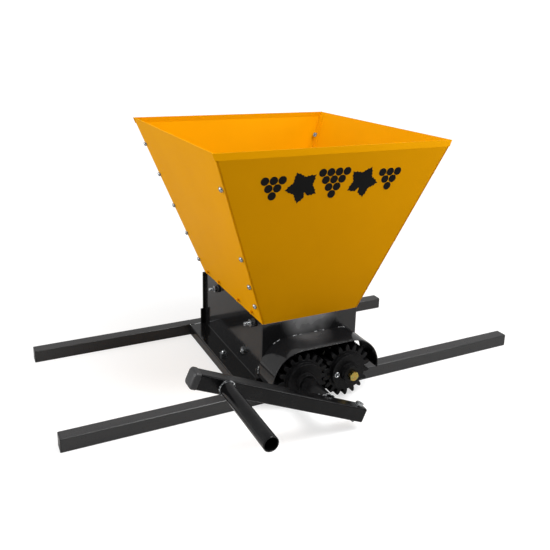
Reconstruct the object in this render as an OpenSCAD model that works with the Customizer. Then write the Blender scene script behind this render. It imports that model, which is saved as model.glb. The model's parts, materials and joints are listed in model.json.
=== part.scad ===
// Hand-cranked twin-roller grape crusher: a sheet hopper on a roller box that two bars carry
// across a vat. Millimetres, +Z up, +X along the bars, the crank on the -Y side.

/* [Bars and rails] */
// Length of the front bar
front_bar_len = 744; // [620:1:900]
// Distance from the middle of the front bar to the middle of the box
bar_offset = 7; // [0:1:20]
// Outer width of the square tube of the bars
bar_w = 20; // [16:1:25]
// Wall of every square tube
tube_wall = 1.5; // [1:0.1:2]
// Length of the short rear leg, measured from the rail
rear_leg_len = 164; // [120:1:210]
// Gap between the rear leg and the rear bar
rear_leg_gap = 12.7; // [5:0.1:30]
// Width of the flat top of a side rail
rail_w = 28.4; // [22:0.1:34]
// Height of the upright leg of a side rail
rail_h = 16; // [12:0.5:18]
// Thickness of the side rail
rail_t = 2; // [1.5:0.1:3]

/* [Roller box] */
// Outer width of the box
box_w = 158; // [150:1:200]
// Outer depth of the box, over both end plates
box_d = 237; // [190:1:300]
// Height of the top edge of the box
box_top = 114.4; // [110:0.1:140]
// Thickness of the end plates
plate_t = 3; // [2:0.1:5]
// Thickness of the side walls, the guard and the deflectors
wall_t = 1.5; // [1:0.1:2]
// Height of the bottom edge of the end plates
plate_z = 2; // [0:0.5:6]
// Height of the top of the ears of the end plates
ear_top = 47; // [40:1:60]
// How far the ears of the front plate stand out
front_ear_w = 9; // [6:0.5:12]
// How far the ears of the rear plate stand out
rear_ear_w = 4; // [2:0.5:8]
// How far the rear plate stands out past a side wall
rear_plate_over = 4.5; // [0:0.5:6]

/* [Hopper] */
// Height of the hopper's rim
rim_z = 375.7; // [320:0.1:440]
// Width of the rim
rim_w = 355; // [300:1:420]
// Depth of the rim
rim_d = 365; // [310:1:440]
// Thickness of the hopper sheet
sheet_t = 1.2; // [1:0.1:2]
// Height of the upright lip along the front and rear rims
lip_h = 9; // [6:0.5:14]
// How far the lip reaches past the side panels
lip_over = 1.2; // [0:0.1:3]
// Width of the flange that joins two panels
seam_w = 15; // [12:0.5:22]
// Distance from a seam screw to the corner of the hopper
seam_inset = 6.5; // [5:0.5:8]
// Length of the feet inside the hopper
foot_len = 196; // [150:1:200]
// Thickness of the feet
foot_t = 2; // [1.5:0.1:3]
// How far a foot reaches down into the box
foot_drop = 24; // [16:1:26]
// How far a foot reaches up the side panel
foot_rise = 20; // [14:1:30]

/* [Rollers and shafts] */
// Height of both shafts
axis_z = 41.5; // [41:0.5:50]
// Diameter of both shafts
shaft_d = 16; // [12:0.5:18]
// Outer diameter of a roller over its ribs
roller_d = 68; // [56:0.5:69]
// Depth of the ribs of a roller
rib_h = 6; // [3:0.5:9]
// Number of ribs
rib_count = 10; // [6:1:14]
// Width of a rib
rib_w = 7; // [4:0.5:9]
// Gap between a roller and each end plate
roller_gap = 3; // [2.5:0.5:6]
// Wall of a shaft bush
bush_wall = 3; // [2:0.1:4]
// Thickness of the bush flange
bush_flange_t = 3; // [2:0.1:4]
// How far a bush reaches into the box
bush_in = 2; // [0:0.1:2]
// Outer diameter of a shaft collar
collar_d = 28; // [24:1:32]
// Width of a shaft collar
collar_w = 10; // [8:0.5:12]
// Diameter of the pins that lock a roller to its shaft
pin_d = 5; // [4:0.1:6]

/* [Gears and guard] */
// Module of the gear teeth
gear_m = 4; // [3.8:0.1:4.5]
// Number of teeth on each gear
gear_teeth = 18; // [18:1:18]
// Width of the gear teeth
gear_w = 22; // [16:0.5:26]
// Play between the teeth, measured on the pitch circle
backlash = 0.4; // [0.2:0.05:0.8]
// Gap between the front bar and the gears
gear_gap = 5; // [3:0.5:10]
// Diameter of the big boss on the face of a gear
boss_d = 54; // [52:0.5:58]
// How far the boss stands out
boss_h = 6; // [4:0.5:10]
// Diameter of the nose on the boss
nose_d = 28; // [24:0.5:30]
// How far the nose stands out of the boss
nose_h = 8; // [6:0.5:12]
// Diameter of the rear hub of a gear
hub_d = 30; // [26:0.5:34]
// Width and height of a key
key_w = 5; // [4:0.5:6]
// Length of a key
key_len = 18; // [12:0.5:18]
// Distance of the face screw from the middle of a gear
face_screw_r = 20.5; // [20:0.5:22]
// Height of the top of the guard
guard_top = 88; // [87:0.5:110]
// Height of the two lower edges of the guard
guard_low = 35; // [25:0.5:38]
// Half the width of the flat top of the guard
guard_flat = 40; // [36:0.5:50]
// Radius of the rounded shoulders of the guard
guard_r = 48; // [44:0.5:50]
// Sideways offset of the guard
guard_shift = 3; // [0:0.5:4]

/* [Crank] */
// Outer width of the square tube of the crank
crank_w = 20; // [19:0.5:24]
// Distance from the shaft to the capped end of the crank
crank_reach = 203; // [175:1:240]
// Distance from the shaft to the open end of the crank
crank_tail = 53; // [40:1:70]
// Distance from the shaft to the middle of the handle
handle_reach = 165; // [130:1:175]
// Tilt of the crank above the level, capped end up
crank_tilt = 24.1; // [-90:0.1:90]
// Distance from the gear boss to the back of the crank
crank_gap = 51; // [40:1:70]
// Outer diameter of the crank socket
socket_d = 24; // [22:0.5:30]
// Gap between the crank socket and the gear boss
socket_gap = 3.5; // [2:0.5:8]
// Outer diameter of the handle tube
handle_d = 18; // [16:0.5:22]
// Length of the handle
handle_len = 120; // [90:1:150]
// How far the end cap stands out
cap_h = 9; // [6:0.5:12]
// How much wider the end cap is than the tube
cap_over = 2; // [1:0.5:4]

/* [Fasteners and fits] */
// Thread diameter of the frame bolts
bolt_d = 6; // [5:1:6]
// Thread diameter of the bolt in the end of the idler shaft
end_bolt_d = 8; // [6:1:8]
// Thread diameter of the seam screws
screw_d = 4; // [3:1:4]
// Diameter of the rivets
rivet_d = 4; // [3:0.5:5]
// How far the hopper bolts stand out of the box
bolt_out = 17; // [14:1:26]
// Radial clearance of a shaft in a bush
run_fit = 0.05; // [0.02:0.01:0.1]
// Radial clearance of parts that are fixed together
fixed_fit = 0.03; // [0.02:0.01:0.05]
// Radial clearance of a bolt in its hole
hole_fit = 0.3; // [0.2:0.05:0.4]
// Clearance of a plug in a tube
plug_fit = 0.1; // [0.05:0.05:0.2]

/* [Hidden] */
$fn = 48;
// Positions of the seam screws, as shares of the panel height from the rim down
front_seam_shares = [0.18, 0.575, 0.75, 0.88];
rear_seam_shares = [0.16, 0.35, 0.55, 0.73, 0.905];

// The whole model is drawn about the middle of the box, then moved to the middle of its own
// footprint
box_front = -box_d / 2;
box_back = box_d / 2;
handle_tip = box_front - bar_w - gear_gap - gear_w - boss_h - nose_h - crank_gap - crank_w
    - handle_len;
middle_y = (handle_tip + max(box_back + bar_w, rim_d / 2)) / 2;

bar_left = bar_offset - front_bar_len / 2;
bar_right = bar_offset + front_bar_len / 2;
rail_out = box_w / 2 + rail_w;
rail_top = bar_w - wall_t;
cover_t = 1.5;
plug_len = 10;

// Hopper: half width and half depth of its outside at height z
lip_z = rim_z - lip_h;
slope_x = (rim_w - box_w) / 2 / (rim_z - box_top);
slope_y = (rim_d - box_d) / 2 / (lip_z - box_top);
tilt_x = atan(slope_x);
sheet_x = sheet_t / cos(tilt_x);
sheet_y = sheet_t / cos(atan(slope_y));
function half_w(z) = box_w / 2 + (z - box_top) * slope_x;
function half_d(z) = box_d / 2 + (z - box_top) * slope_y;

// Gears: the shafts stand one pitch circle apart
pitch_r = gear_m * gear_teeth / 2;
tip_r = pitch_r + gear_m;
root_r = pitch_r - 1.25 * gear_m;
pressure = 20;
base_r = pitch_r * cos(pressure);
axis_x = pitch_r;
gear_back = box_front - bar_w - gear_gap;
gear_front = gear_back - gear_w;
boss_front = gear_front - boss_h;
nose_front = boss_front - nose_h;
guard_front = gear_front - 0.5;
key_low = gear_front + (gear_w - key_len) / 2;
phase_fix = 180 / gear_teeth;
drive_screw_turn = -70;

shaft_r = shaft_d / 2;
bush_r = shaft_r + bush_wall;
bush_flange_r = bush_r + 5;
side_play = 0.5;
collar_y = box_back + bush_flange_t + side_play;
shaft_back = collar_y + collar_w + 2;
idler_front = nose_front + 1;
roller_len = box_d - 2 * plate_t - 2 * roller_gap;
core_r = roller_d / 2 - rib_h;
pin_y = roller_len / 2 - 20;

// Crank
arm_back = nose_front - crank_gap;
arm_front = arm_back - crank_w;
shaft_front = arm_back + 2.5;
socket_front = nose_front - socket_gap;
socket_screw_y = arm_back + 7;
socket_screw_turn = -70;
tail_bolt_reach = crank_tail - 8;

// Deflector: its tip hangs over the outer side of the roller
deflector_low = 40;
deflector_top = 84;
deflector_tip = [axis_x + 23, axis_z + 30];
deflector_screw_z = 47;
deflector_screw_y = -58;

// Fasteners
bolt_r = bolt_d / 2;
bolt_flats = 10;
bolt_head = 4;
nut_h = 5;
nut_fit = 0.05;
screw_r = screw_d / 2;
screw_head_r = screw_d * 0.95;
screw_head_h = 2.4;
screw_nut_flats = 7;
screw_nut_h = 3.2;
rivet_r = rivet_d / 2;
pad_t = 3;
pad_r = 6.5;
foot_bolt_z = box_top - 7.4;
foot_bolt_y = [-91, 53];
rivet_z = box_top + 10;
rivet_y = [-90, -40, 40, 90];
rail_bolt = [box_w / 2 + 17, -12];
set_screw_d = 6;
set_screw_head_r = 4.2;
set_screw_len = 11;
end_bolt_r = end_bolt_d / 2;
end_bolt_flats = 13;
end_bolt_head = 5.3;
end_bolt_len = 18;
end_bolt_bore = 20;

powder_black = "#26272a";
bar_grey = "#3a3b3d";
hopper_yellow = "#f2a900";
zinc = "#c9cccf";
yellow_zinc = "#c9b25a";
black_oxide = "#1d1e20";
cast_alu = "#a9acae";
nylon = "#e6e2d6";
black_plastic = "#161617";

// ---- helpers ----

module in_frame() {
    translate([-bar_offset, -middle_y, 0]) children();
}

// A flat shape drawn in X and Z, extruded from y0 to y1
module along_y(y0, y1) {
    translate([0, y1, 0]) rotate([90, 0, 0]) linear_extrude(y1 - y0) children();
}

// A flat shape drawn in Y and Z, extruded from x0 to x1
module along_x(x0, x1) {
    translate([x0, 0, 0]) rotate([90, 0, 90]) linear_extrude(x1 - x0) children();
}

module rod_y(r, y0, y1) {
    translate([0, y1, 0]) rotate([90, 0, 0]) cylinder(r = r, h = y1 - y0);
}

module mirrored_x() {
    children();
    mirror([1, 0, 0]) children();
}

module hexagon(flats, h) {
    cylinder(r = flats / 2 / cos(30), h = h, $fn = 6);
}

// Hex bolt: its head stands on z = 0 and its shank runs down
module hex_bolt(r, len, flats, head) {
    hexagon(flats, head);
    translate([0, 0, -len]) cylinder(r = r, h = len + 1);
}

// Hex nut standing on z = 0
module hex_nut(r, flats, h) {
    difference() {
        hexagon(flats, h);
        translate([0, 0, -1]) cylinder(r = r + nut_fit, h = h + 2);
    }
}

// Round-headed screw: its head stands on z = 0 and its shank runs down
module pan_screw(r, len, head_r, head_h) {
    difference() {
        cylinder(r = head_r, h = head_h);
        translate([0, 0, head_h / 2]) hexagon(r * 1.3, head_h);
    }
    translate([0, 0, -len]) cylinder(r = r, h = len + head_h / 4);
}

// Socket grub screw, its outer face on z = 0
module grub_screw(r, len) {
    difference() {
        translate([0, 0, -len]) cylinder(r = r, h = len);
        translate([0, 0, -2.5]) hexagon(r, 3);
    }
}

// Square tube along X
module square_tube(x0, x1, w) {
    difference() {
        translate([x0, 0, 0]) cube([x1 - x0, w, w]);
        translate([x0 - 1, tube_wall, tube_wall])
            cube([x1 - x0 + 2, w - 2 * tube_wall, w - 2 * tube_wall]);
    }
}

// Plug for the end of a bar that points along +X, its cover's outer face at x
module bar_plug(x) {
    inner = bar_w - 2 * tube_wall - 2 * plug_fit;
    translate([x - cover_t, 0, 0]) cube([cover_t, bar_w, bar_w]);
    translate([x - cover_t - plug_len, (bar_w - inner) / 2, (bar_w - inner) / 2])
        cube([plug_len + cover_t / 2, inner, inner]);
}

// ---- bars, rails and box ----

module front_bar() color(bar_grey) in_frame() {
    translate([0, box_front - bar_w, 0])
        square_tube(bar_left + cover_t, bar_right - cover_t, bar_w);
}

module rear_bar() color(bar_grey) in_frame() {
    translate([0, box_back, 0]) square_tube(bar_left + cover_t, rail_out - cover_t, bar_w);
}

rear_leg_y = box_back - rear_leg_gap - bar_w;

module rear_leg() color(bar_grey) in_frame() {
    translate([0, rear_leg_y, 0])
        square_tube(rail_out, rail_out + rear_leg_len - cover_t, bar_w);
}

module bar_end_plugs() color(bar_grey) in_frame() {
    translate([0, box_front - bar_w, 0]) {
        bar_plug(bar_right);
        mirror([1, 0, 0]) bar_plug(-bar_left);
    }
    translate([0, box_back, 0]) {
        bar_plug(rail_out);
        mirror([1, 0, 0]) bar_plug(-bar_left);
    }
    translate([0, rear_leg_y, 0]) bar_plug(rail_out + rear_leg_len);
}

module rail() {
    difference() {
        along_y(box_front, box_back) polygon([
            [box_w / 2, rail_top], [rail_out, rail_top], [rail_out, rail_top - rail_h],
            [rail_out - rail_t, rail_top - rail_h], [rail_out - rail_t, rail_top - rail_t],
            [box_w / 2, rail_top - rail_t]]);
        translate([rail_bolt[0], rail_bolt[1], 0]) cylinder(r = bolt_r + hole_fit, h = bar_w);
    }
}

module left_rail() color(powder_black) in_frame() mirror([1, 0, 0]) rail();
module right_rail() color(powder_black) in_frame() rail();

// End plate in X and Z: it stands between the rails, has ears on them, and rises beside the
// walls
module plate_outline(half, ear) {
    polygon([
        [-box_w / 2, plate_z], [box_w / 2, plate_z], [box_w / 2, rail_top],
        [half + ear, rail_top], [half + ear, ear_top], [half, ear_top], [half, box_top],
        [-half, box_top], [-half, ear_top], [-half - ear, ear_top],
        [-half - ear, rail_top], [-box_w / 2, rail_top]]);
}

module end_plate(y0, half, ear) {
    along_y(y0, y0 + plate_t) difference() {
        plate_outline(half, ear);
        for (side = [-1, 1])
            translate([side * axis_x, axis_z]) circle(r = bush_r + fixed_fit);
    }
}

module front_plate() color(powder_black) in_frame() end_plate(box_front, box_w / 2, front_ear_w);
module rear_plate() color(powder_black) in_frame()
    end_plate(box_back - plate_t, box_w / 2 + rear_plate_over, rear_ear_w);

module side_wall() {
    wall_in = box_w / 2 - wall_t;
    difference() {
        along_y(box_front + plate_t, box_back - plate_t) polygon([
            [wall_in, rail_top - rail_t], [box_w / 2, rail_top - rail_t],
            [box_w / 2, rail_top], [rail_out, rail_top], [rail_out, bar_w],
            [box_w / 2, bar_w], [box_w / 2, box_top], [wall_in, box_top]]);
        translate([rail_bolt[0], rail_bolt[1], 0]) cylinder(r = bolt_r + hole_fit, h = 2 * bar_w);
        at_foot_bolts() translate([0, 0, -10]) cylinder(r = bolt_r + hole_fit, h = 20);
        at_deflector_bolts() translate([0, 0, -10]) cylinder(r = bolt_r + hole_fit, h = 20);
    }
}

module left_wall() color(powder_black) in_frame() mirror([1, 0, 0]) side_wall();
module right_wall() color(powder_black) in_frame() side_wall();

module at_rail_bolts() mirrored_x() translate([rail_bolt[0], rail_bolt[1], 0]) children();

module rail_bolts() color(zinc) in_frame() at_rail_bolts()
    translate([0, 0, rail_top - rail_t]) mirror([0, 0, 1])
        hex_bolt(bolt_r, rail_t + wall_t + nut_h + 3, bolt_flats, bolt_head);

module rail_nuts() color(zinc) in_frame() at_rail_bolts()
    translate([0, 0, bar_w]) hex_nut(bolt_r, bolt_flats, nut_h);

// ---- deflectors ----

// Spot on the inner face of the right wall, +Z pointing into the box. One bolt holds a
// deflector to the wall, and the end plates keep it from turning.
module at_deflector_bolts() {
    translate([box_w / 2 - wall_t, deflector_screw_y, deflector_screw_z]) rotate([0, -90, 0])
        children();
}

module deflector() {
    wall_in = box_w / 2 - wall_t;
    run = [wall_in - deflector_tip[0], deflector_top - deflector_tip[1]];
    slant = norm(run);
    drop = [wall_t * run[1] / slant, -wall_t * run[0] / slant];
    fold_z = deflector_top + drop[1] - (wall_t + drop[0]) * run[1] / run[0];
    difference() {
        along_y(box_front + plate_t, box_back - plate_t) polygon([
            [wall_in, deflector_low], [wall_in, deflector_top], deflector_tip,
            deflector_tip + drop, [wall_in - wall_t, fold_z],
            [wall_in - wall_t, deflector_low]]);
        at_deflector_bolts() translate([0, 0, -5]) cylinder(r = bolt_r + hole_fit, h = 10);
    }
}

module left_deflector() color(powder_black) in_frame() mirror([1, 0, 0]) deflector();
module right_deflector() color(powder_black) in_frame() deflector();

module deflector_bolts() color(zinc) in_frame() mirrored_x() at_deflector_bolts()
    translate([0, 0, wall_t])
        hex_bolt(bolt_r, 2 * wall_t + nut_h + 2, bolt_flats, bolt_head);

module deflector_nuts() color(zinc) in_frame() mirrored_x() at_deflector_bolts()
    translate([0, 0, -wall_t - nut_h]) hex_nut(bolt_r, bolt_flats, nut_h);

// ---- hopper ----

// Spots on the outer face of the right side panel, +Z pointing out of the hopper
module on_side_panel(y, z) {
    translate([half_w(z), y, z]) rotate([0, 90 + tilt_x, 0]) children();
}

module at_seam_screws() {
    for (share = front_seam_shares) {
        z = rim_z - share * (rim_z - box_top);
        on_side_panel(seam_inset - half_d(z), z) children();
    }
    for (share = rear_seam_shares) {
        z = rim_z - share * (rim_z - box_top);
        on_side_panel(half_d(z) - seam_inset, z) children();
    }
}

module at_rivets() {
    for (y = rivet_y)
        on_side_panel(y, rivet_z) children();
}

module side_panel() {
    lip_in = rim_d / 2 - sheet_t;
    difference() {
        intersection() {
            along_y(-rim_d / 2, rim_d / 2) polygon([
                [half_w(box_top), box_top], [half_w(rim_z), rim_z],
                [half_w(rim_z) - sheet_x, rim_z], [half_w(box_top) - sheet_x, box_top]]);
            along_x(0, rim_w) polygon([
                [-half_d(box_top), box_top], [half_d(box_top), box_top], [rim_d / 2, lip_z],
                [lip_in, lip_z], [lip_in, rim_z], [-lip_in, rim_z], [-lip_in, lip_z],
                [-rim_d / 2, lip_z]]);
        }
        at_seam_screws() translate([0, 0, -3]) cylinder(r = screw_r + hole_fit, h = 6);
        at_rivets() translate([0, 0, -3]) cylinder(r = rivet_r + hole_fit, h = 6);
    }
}

// Front sheet without its holes: a slope with an upright lip, and a flange along each side
module end_sheet() {
    lip_bend = lip_z + (sheet_y - sheet_t) / slope_y;
    low_in = half_w(box_top) - sheet_x;
    high_in = half_w(lip_z) - sheet_x;
    lip_low = half_w(lip_z) + lip_over;
    lip_high = half_w(rim_z) + lip_over;
    edge = sheet_y / 3;
    intersection() {
        along_x(-rim_w, rim_w) polygon([
            [-half_d(box_top), box_top], [-rim_d / 2, lip_z], [-rim_d / 2, rim_z],
            [sheet_t - rim_d / 2, rim_z], [sheet_t - rim_d / 2, lip_bend],
            [sheet_y - half_d(box_top), box_top]]);
        along_y(-rim_d, 0) polygon([
            [-low_in, box_top], [low_in, box_top], [high_in, lip_z], [lip_low, lip_z],
            [lip_high, rim_z], [-lip_high, rim_z], [-lip_low, lip_z], [-high_in, lip_z]]);
    }
    mirrored_x() intersection() {
        along_y(-rim_d, 0) polygon([
            [low_in, box_top], [high_in, lip_z], [high_in - sheet_x, lip_z],
            [low_in - sheet_x, box_top]]);
        along_x(0, rim_w) polygon([
            [edge - half_d(box_top), box_top], [edge - rim_d / 2, lip_z],
            [seam_w - rim_d / 2, lip_z], [seam_w - half_d(box_top), box_top]]);
    }
}

module seam_holes() {
    mirrored_x() at_seam_screws() translate([0, 0, -6])
        cylinder(r = screw_r + hole_fit, h = 9);
}

module hopper_front() color(hopper_yellow) in_frame() difference() {
    end_sheet();
    seam_holes();
}

module hopper_rear() color(hopper_yellow) in_frame() difference() {
    mirror([0, 1, 0]) end_sheet();
    seam_holes();
}

module hopper_left() color(hopper_yellow) in_frame() mirror([1, 0, 0]) side_panel();
module hopper_right() color(hopper_yellow) in_frame() side_panel();

module hopper_screws() color(zinc) in_frame() mirrored_x() at_seam_screws()
    pan_screw(screw_r, 2 * sheet_t + screw_nut_h + 1, screw_head_r, screw_head_h);

module hopper_nuts() color(zinc) in_frame() mirrored_x() at_seam_screws()
    translate([0, 0, -2 * sheet_t - screw_nut_h])
        hex_nut(screw_r, screw_nut_flats, screw_nut_h);

// Spots on the inner face of the right wall, +Z pointing into the box
module at_foot_bolts() {
    for (y = foot_bolt_y)
        translate([box_w / 2 - wall_t, y, foot_bolt_z]) rotate([0, -90, 0]) children();
}

// Bent strip inside the hopper: its upper leg lies on the side panel and its lower leg on
// the inside of the box wall
module foot() {
    out_x = box_w / 2 - wall_t - plug_fit;
    in_x = out_x - foot_t;
    panel_x = half_w(box_top) - sheet_x;
    leg_x = panel_x - foot_t / cos(tilt_x);
    top = box_top + foot_rise;
    difference() {
        along_y(-foot_len / 2, foot_len / 2) polygon([
            [out_x, box_top - foot_drop], [out_x, box_top], [panel_x, box_top],
            [panel_x + foot_rise * slope_x, top], [leg_x + foot_rise * slope_x, top],
            [in_x, box_top + (in_x - leg_x) / slope_x], [in_x, box_top - foot_drop]]);
        at_foot_bolts() translate([0, 0, -5]) cylinder(r = bolt_r + hole_fit, h = 15);
        at_rivets() translate([0, 0, -6]) cylinder(r = rivet_r + hole_fit, h = 9);
    }
}

module left_foot() color(powder_black) in_frame() mirror([1, 0, 0]) foot();
module right_foot() color(powder_black) in_frame() foot();

module foot_rivets() color(hopper_yellow) in_frame() mirrored_x() at_rivets() {
    cylinder(r = rivet_r * 1.8, h = 1.2);
    translate([0, 0, -sheet_t - foot_t - 1.5]) cylinder(r = rivet_r * 1.5, h = 1.5);
    translate([0, 0, -sheet_t - foot_t - 0.5])
        cylinder(r = rivet_r, h = sheet_t + foot_t + 1);
}

module foot_bolts() color(zinc) in_frame() mirrored_x() at_foot_bolts()
    translate([0, 0, foot_t + plug_fit])
        hex_bolt(bolt_r, foot_t + plug_fit + wall_t + bolt_out, bolt_flats, bolt_head);

module foot_pads() color(black_plastic) in_frame() mirrored_x() at_foot_bolts()
    translate([0, 0, -wall_t - pad_t]) difference() {
        cylinder(r = pad_r, h = pad_t);
        translate([0, 0, -1]) cylinder(r = bolt_r + nut_fit, h = pad_t + 2);
    }

module foot_nuts() color(zinc) in_frame() mirrored_x() at_foot_bolts()
    translate([0, 0, -wall_t - pad_t - nut_h]) hex_nut(bolt_r, bolt_flats, nut_h);

// ---- bushes ----

// Flanged bush of the front plate, about a shaft axis at the origin
module bush() {
    difference() {
        union() {
            rod_y(bush_flange_r, box_front - bush_flange_t, box_front);
            rod_y(bush_r, box_front - bush_flange_t, box_front + plate_t + bush_in);
        }
        rod_y(shaft_r + run_fit, box_front - 10, box_front + 20);
    }
}

module at_drive() in_frame() translate([-axis_x, 0, axis_z]) children();
module at_idler() in_frame() translate([axis_x, 0, axis_z]) children();

module front_drive_bush() color(nylon) at_drive() bush();
module front_idler_bush() color(nylon) at_idler() bush();
module rear_drive_bush() color(nylon) at_drive() mirror([0, 1, 0]) bush();
module rear_idler_bush() color(nylon) at_idler() mirror([0, 1, 0]) bush();

// ---- gear guard ----

// Closed arch in X and Z, shrunk by inset
module arch(inset) {
    shoulder_z = guard_top - guard_r;
    turn = [for (a = [0:6:90]) a];
    right = [for (a = turn) [guard_flat + (guard_r - inset) * cos(a),
        shoulder_z + (guard_r - inset) * sin(a)]];
    left = [for (a = turn) [-guard_flat - (guard_r - inset) * sin(a),
        shoulder_z + (guard_r - inset) * cos(a)]];
    low = guard_low - inset * 5;
    polygon(concat([[guard_flat + guard_r - inset, low]], right, left,
        [[-guard_flat - guard_r + inset, low]]));
}

module gear_guard() color(powder_black) in_frame()
    along_y(guard_front, box_front) translate([guard_shift, 0]) difference() {
        arch(0);
        arch(wall_t);
    }

// ---- drive and idler trains, about their own axis at the origin ----

// Slot for the key, cut in the shaft and in the gear
module keyway(len) {
    depth = key_w / 2 + fixed_fit;
    wide = key_w + 2 * fixed_fit;
    translate([-wide / 2, key_low - fixed_fit, shaft_r - depth])
        cube([wide, len + 2 * fixed_fit, 2 * depth]);
}

module key() {
    translate([-key_w / 2, key_low, shaft_r - key_w / 2]) cube([key_w, key_len, key_w]);
}

// Cross holes for the roller pins
module pin_holes(r) {
    for (y = [-pin_y, pin_y])
        translate([0, y, -roller_d]) cylinder(r = r, h = 2 * roller_d);
}

module drive_shaft() color(zinc) at_drive() difference() {
    rod_y(shaft_r, shaft_front, shaft_back);
    keyway(key_len);
    pin_holes(pin_d / 2 + fixed_fit);
}

module idler_shaft() color(zinc) at_idler() difference() {
    rod_y(shaft_r, idler_front, shaft_back);
    keyway(key_len);
    pin_holes(pin_d / 2 + fixed_fit);
    rod_y(end_bolt_r + nut_fit, idler_front - 1, idler_front + end_bolt_bore);
}

module roller() {
    difference() {
        along_y(-roller_len / 2, roller_len / 2) difference() {
            union() {
                circle(r = core_r);
                intersection() {
                    circle(r = roller_d / 2);
                    for (i = [0:rib_count - 1])
                        rotate(360 * (i + 0.5) / rib_count + 90)
                            translate([0, -rib_w / 2]) square([roller_d, rib_w]);
                }
            }
            circle(r = shaft_r + fixed_fit);
        }
        pin_holes(pin_d / 2 + fixed_fit);
    }
}

module drive_roller() color(cast_alu) at_drive() roller();
module idler_roller() color(cast_alu) at_idler() roller();

module roller_pins() {
    half = core_r - 1;
    for (y = [-pin_y, pin_y])
        translate([0, y, -half]) cylinder(r = pin_d / 2, h = 2 * half);
}

module drive_pins() color(zinc) at_drive() roller_pins();
module idler_pins() color(zinc) at_idler() roller_pins();

// Involute tooth: half its angle at radius r
function roll(a) = tan(a) * 180 / PI - a;
function half_tooth(r) = 90 / gear_teeth - backlash / 4 / pitch_r * 180 / PI
    + roll(pressure) - roll(acos(min(1, base_r / r)));
function flank(i, side, r) = let (a = i * 360 / gear_teeth + side * half_tooth(max(r, base_r)))
    [r * cos(a), r * sin(a)];

module gear_outline() {
    steps = 5;
    flank_r = concat([root_r], [for (i = [0:steps]) base_r + (tip_r - base_r) * i / steps]);
    last = len(flank_r) - 1;
    polygon([for (i = [0:gear_teeth - 1])
        each concat([for (k = [0:last]) flank(i, -1, flank_r[k])],
            [for (k = [last:-1:0]) flank(i, 1, flank_r[k])])]);
}

// Gear with a rear hub, and a front boss with a nose; tooth_turn sets where its teeth stand
// and screw_turn where its face screw is
module gear(tooth_turn, screw_turn) {
    difference() {
        union() {
            along_y(gear_front, gear_back) rotate(tooth_turn) gear_outline();
            rod_y(hub_d / 2, gear_back - 1, box_front - bush_flange_t - side_play);
            rod_y(boss_d / 2, boss_front, gear_front + 1);
            rod_y(nose_d / 2, nose_front, gear_front + 1);
        }
        rod_y(shaft_r + fixed_fit, nose_front - 1, box_front);
        keyway(key_len);
        at_face_screw(screw_turn) translate([0, 0, -set_screw_len - 1])
            cylinder(r = set_screw_d / 2 + nut_fit, h = set_screw_len + 2);
    }
}

// On the boss face, +Z pointing out of it
module at_face_screw(turn) {
    rotate([0, turn, 0]) translate([-face_screw_r, boss_front, 0]) rotate([90, 0, 0]) children();
}

module drive_gear() color(black_oxide) at_drive() gear(0, drive_screw_turn);
module idler_gear() color(black_oxide) at_idler() gear(phase_fix, 0);
module drive_key() color(zinc) at_drive() key();
module idler_key() color(zinc) at_idler() key();

module drive_gear_screw() color(zinc) at_drive() at_face_screw(drive_screw_turn)
    pan_screw(set_screw_d / 2, set_screw_len, set_screw_head_r, 2);
module idler_gear_screw() color(zinc) at_idler() at_face_screw(0)
    pan_screw(set_screw_d / 2, set_screw_len, set_screw_head_r, 2);

washer_t = 2.2;

module idler_end_washer() color(black_oxide) at_idler() difference() {
    rod_y(nose_d / 2 - 0.5, nose_front - washer_t, nose_front);
    rod_y(end_bolt_r + nut_fit, nose_front - washer_t - 1, nose_front + 1);
}

module idler_end_bolt() color(yellow_zinc) at_idler()
    translate([0, nose_front - washer_t, 0]) rotate([90, 0, 0])
        hex_bolt(end_bolt_r, end_bolt_len, end_bolt_flats, end_bolt_head);

// Shaft collar behind the rear bush, locked by a screw from above
module collar() {
    difference() {
        rod_y(collar_d / 2, collar_y, collar_y + collar_w);
        rod_y(shaft_r + fixed_fit, collar_y - 1, collar_y + collar_w + 1);
        translate([0, collar_y + collar_w / 2, 0])
            cylinder(r = screw_r + nut_fit, h = collar_d);
    }
}

module collar_screw() {
    translate([0, collar_y + collar_w / 2, collar_d / 2 - 0.5])
        grub_screw(screw_r, collar_d / 2 - shaft_r - 0.6);
}

module drive_collar() color(black_oxide) at_drive() collar();
module idler_collar() color(black_oxide) at_idler() collar();
module drive_collar_screw() color(zinc) at_drive() collar_screw();
module idler_collar_screw() color(zinc) at_idler() collar_screw();

// ---- crank, drawn level with its capped end on -X, then tilted ----

module at_crank() at_drive() rotate([0, crank_tilt, 0]) children();

module crank_arm() color(powder_black) at_crank() difference() {
    translate([0, arm_front, -crank_w / 2]) square_tube(-crank_reach, crank_tail, crank_w);
    translate([tail_bolt_reach, (arm_back + arm_front) / 2, -crank_w])
        cylinder(r = bolt_r + hole_fit, h = 2 * crank_w);
}

module crank_socket() color(powder_black) at_crank() difference() {
    rod_y(socket_d / 2, arm_back, socket_front);
    rod_y(shaft_r + fixed_fit, arm_back - 1, socket_front + 1);
    translate([0, socket_screw_y, 0]) rotate([0, socket_screw_turn, 0])
        cylinder(r = set_screw_d / 2 + nut_fit, h = socket_d);
}

module crank_socket_screw() color(zinc) at_crank()
    translate([0, socket_screw_y, 0]) rotate([0, socket_screw_turn, 0])
        translate([0, 0, socket_d / 2 + 1])
            grub_screw(set_screw_d / 2, socket_d / 2 + 1 - shaft_r - 0.1);

module crank_handle() color(powder_black) at_crank()
    translate([-handle_reach, 0, 0]) difference() {
        rod_y(handle_d / 2, arm_front - handle_len, arm_front);
        rod_y(handle_d / 2 - tube_wall, arm_front - handle_len - 1, arm_front + 1);
    }

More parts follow.
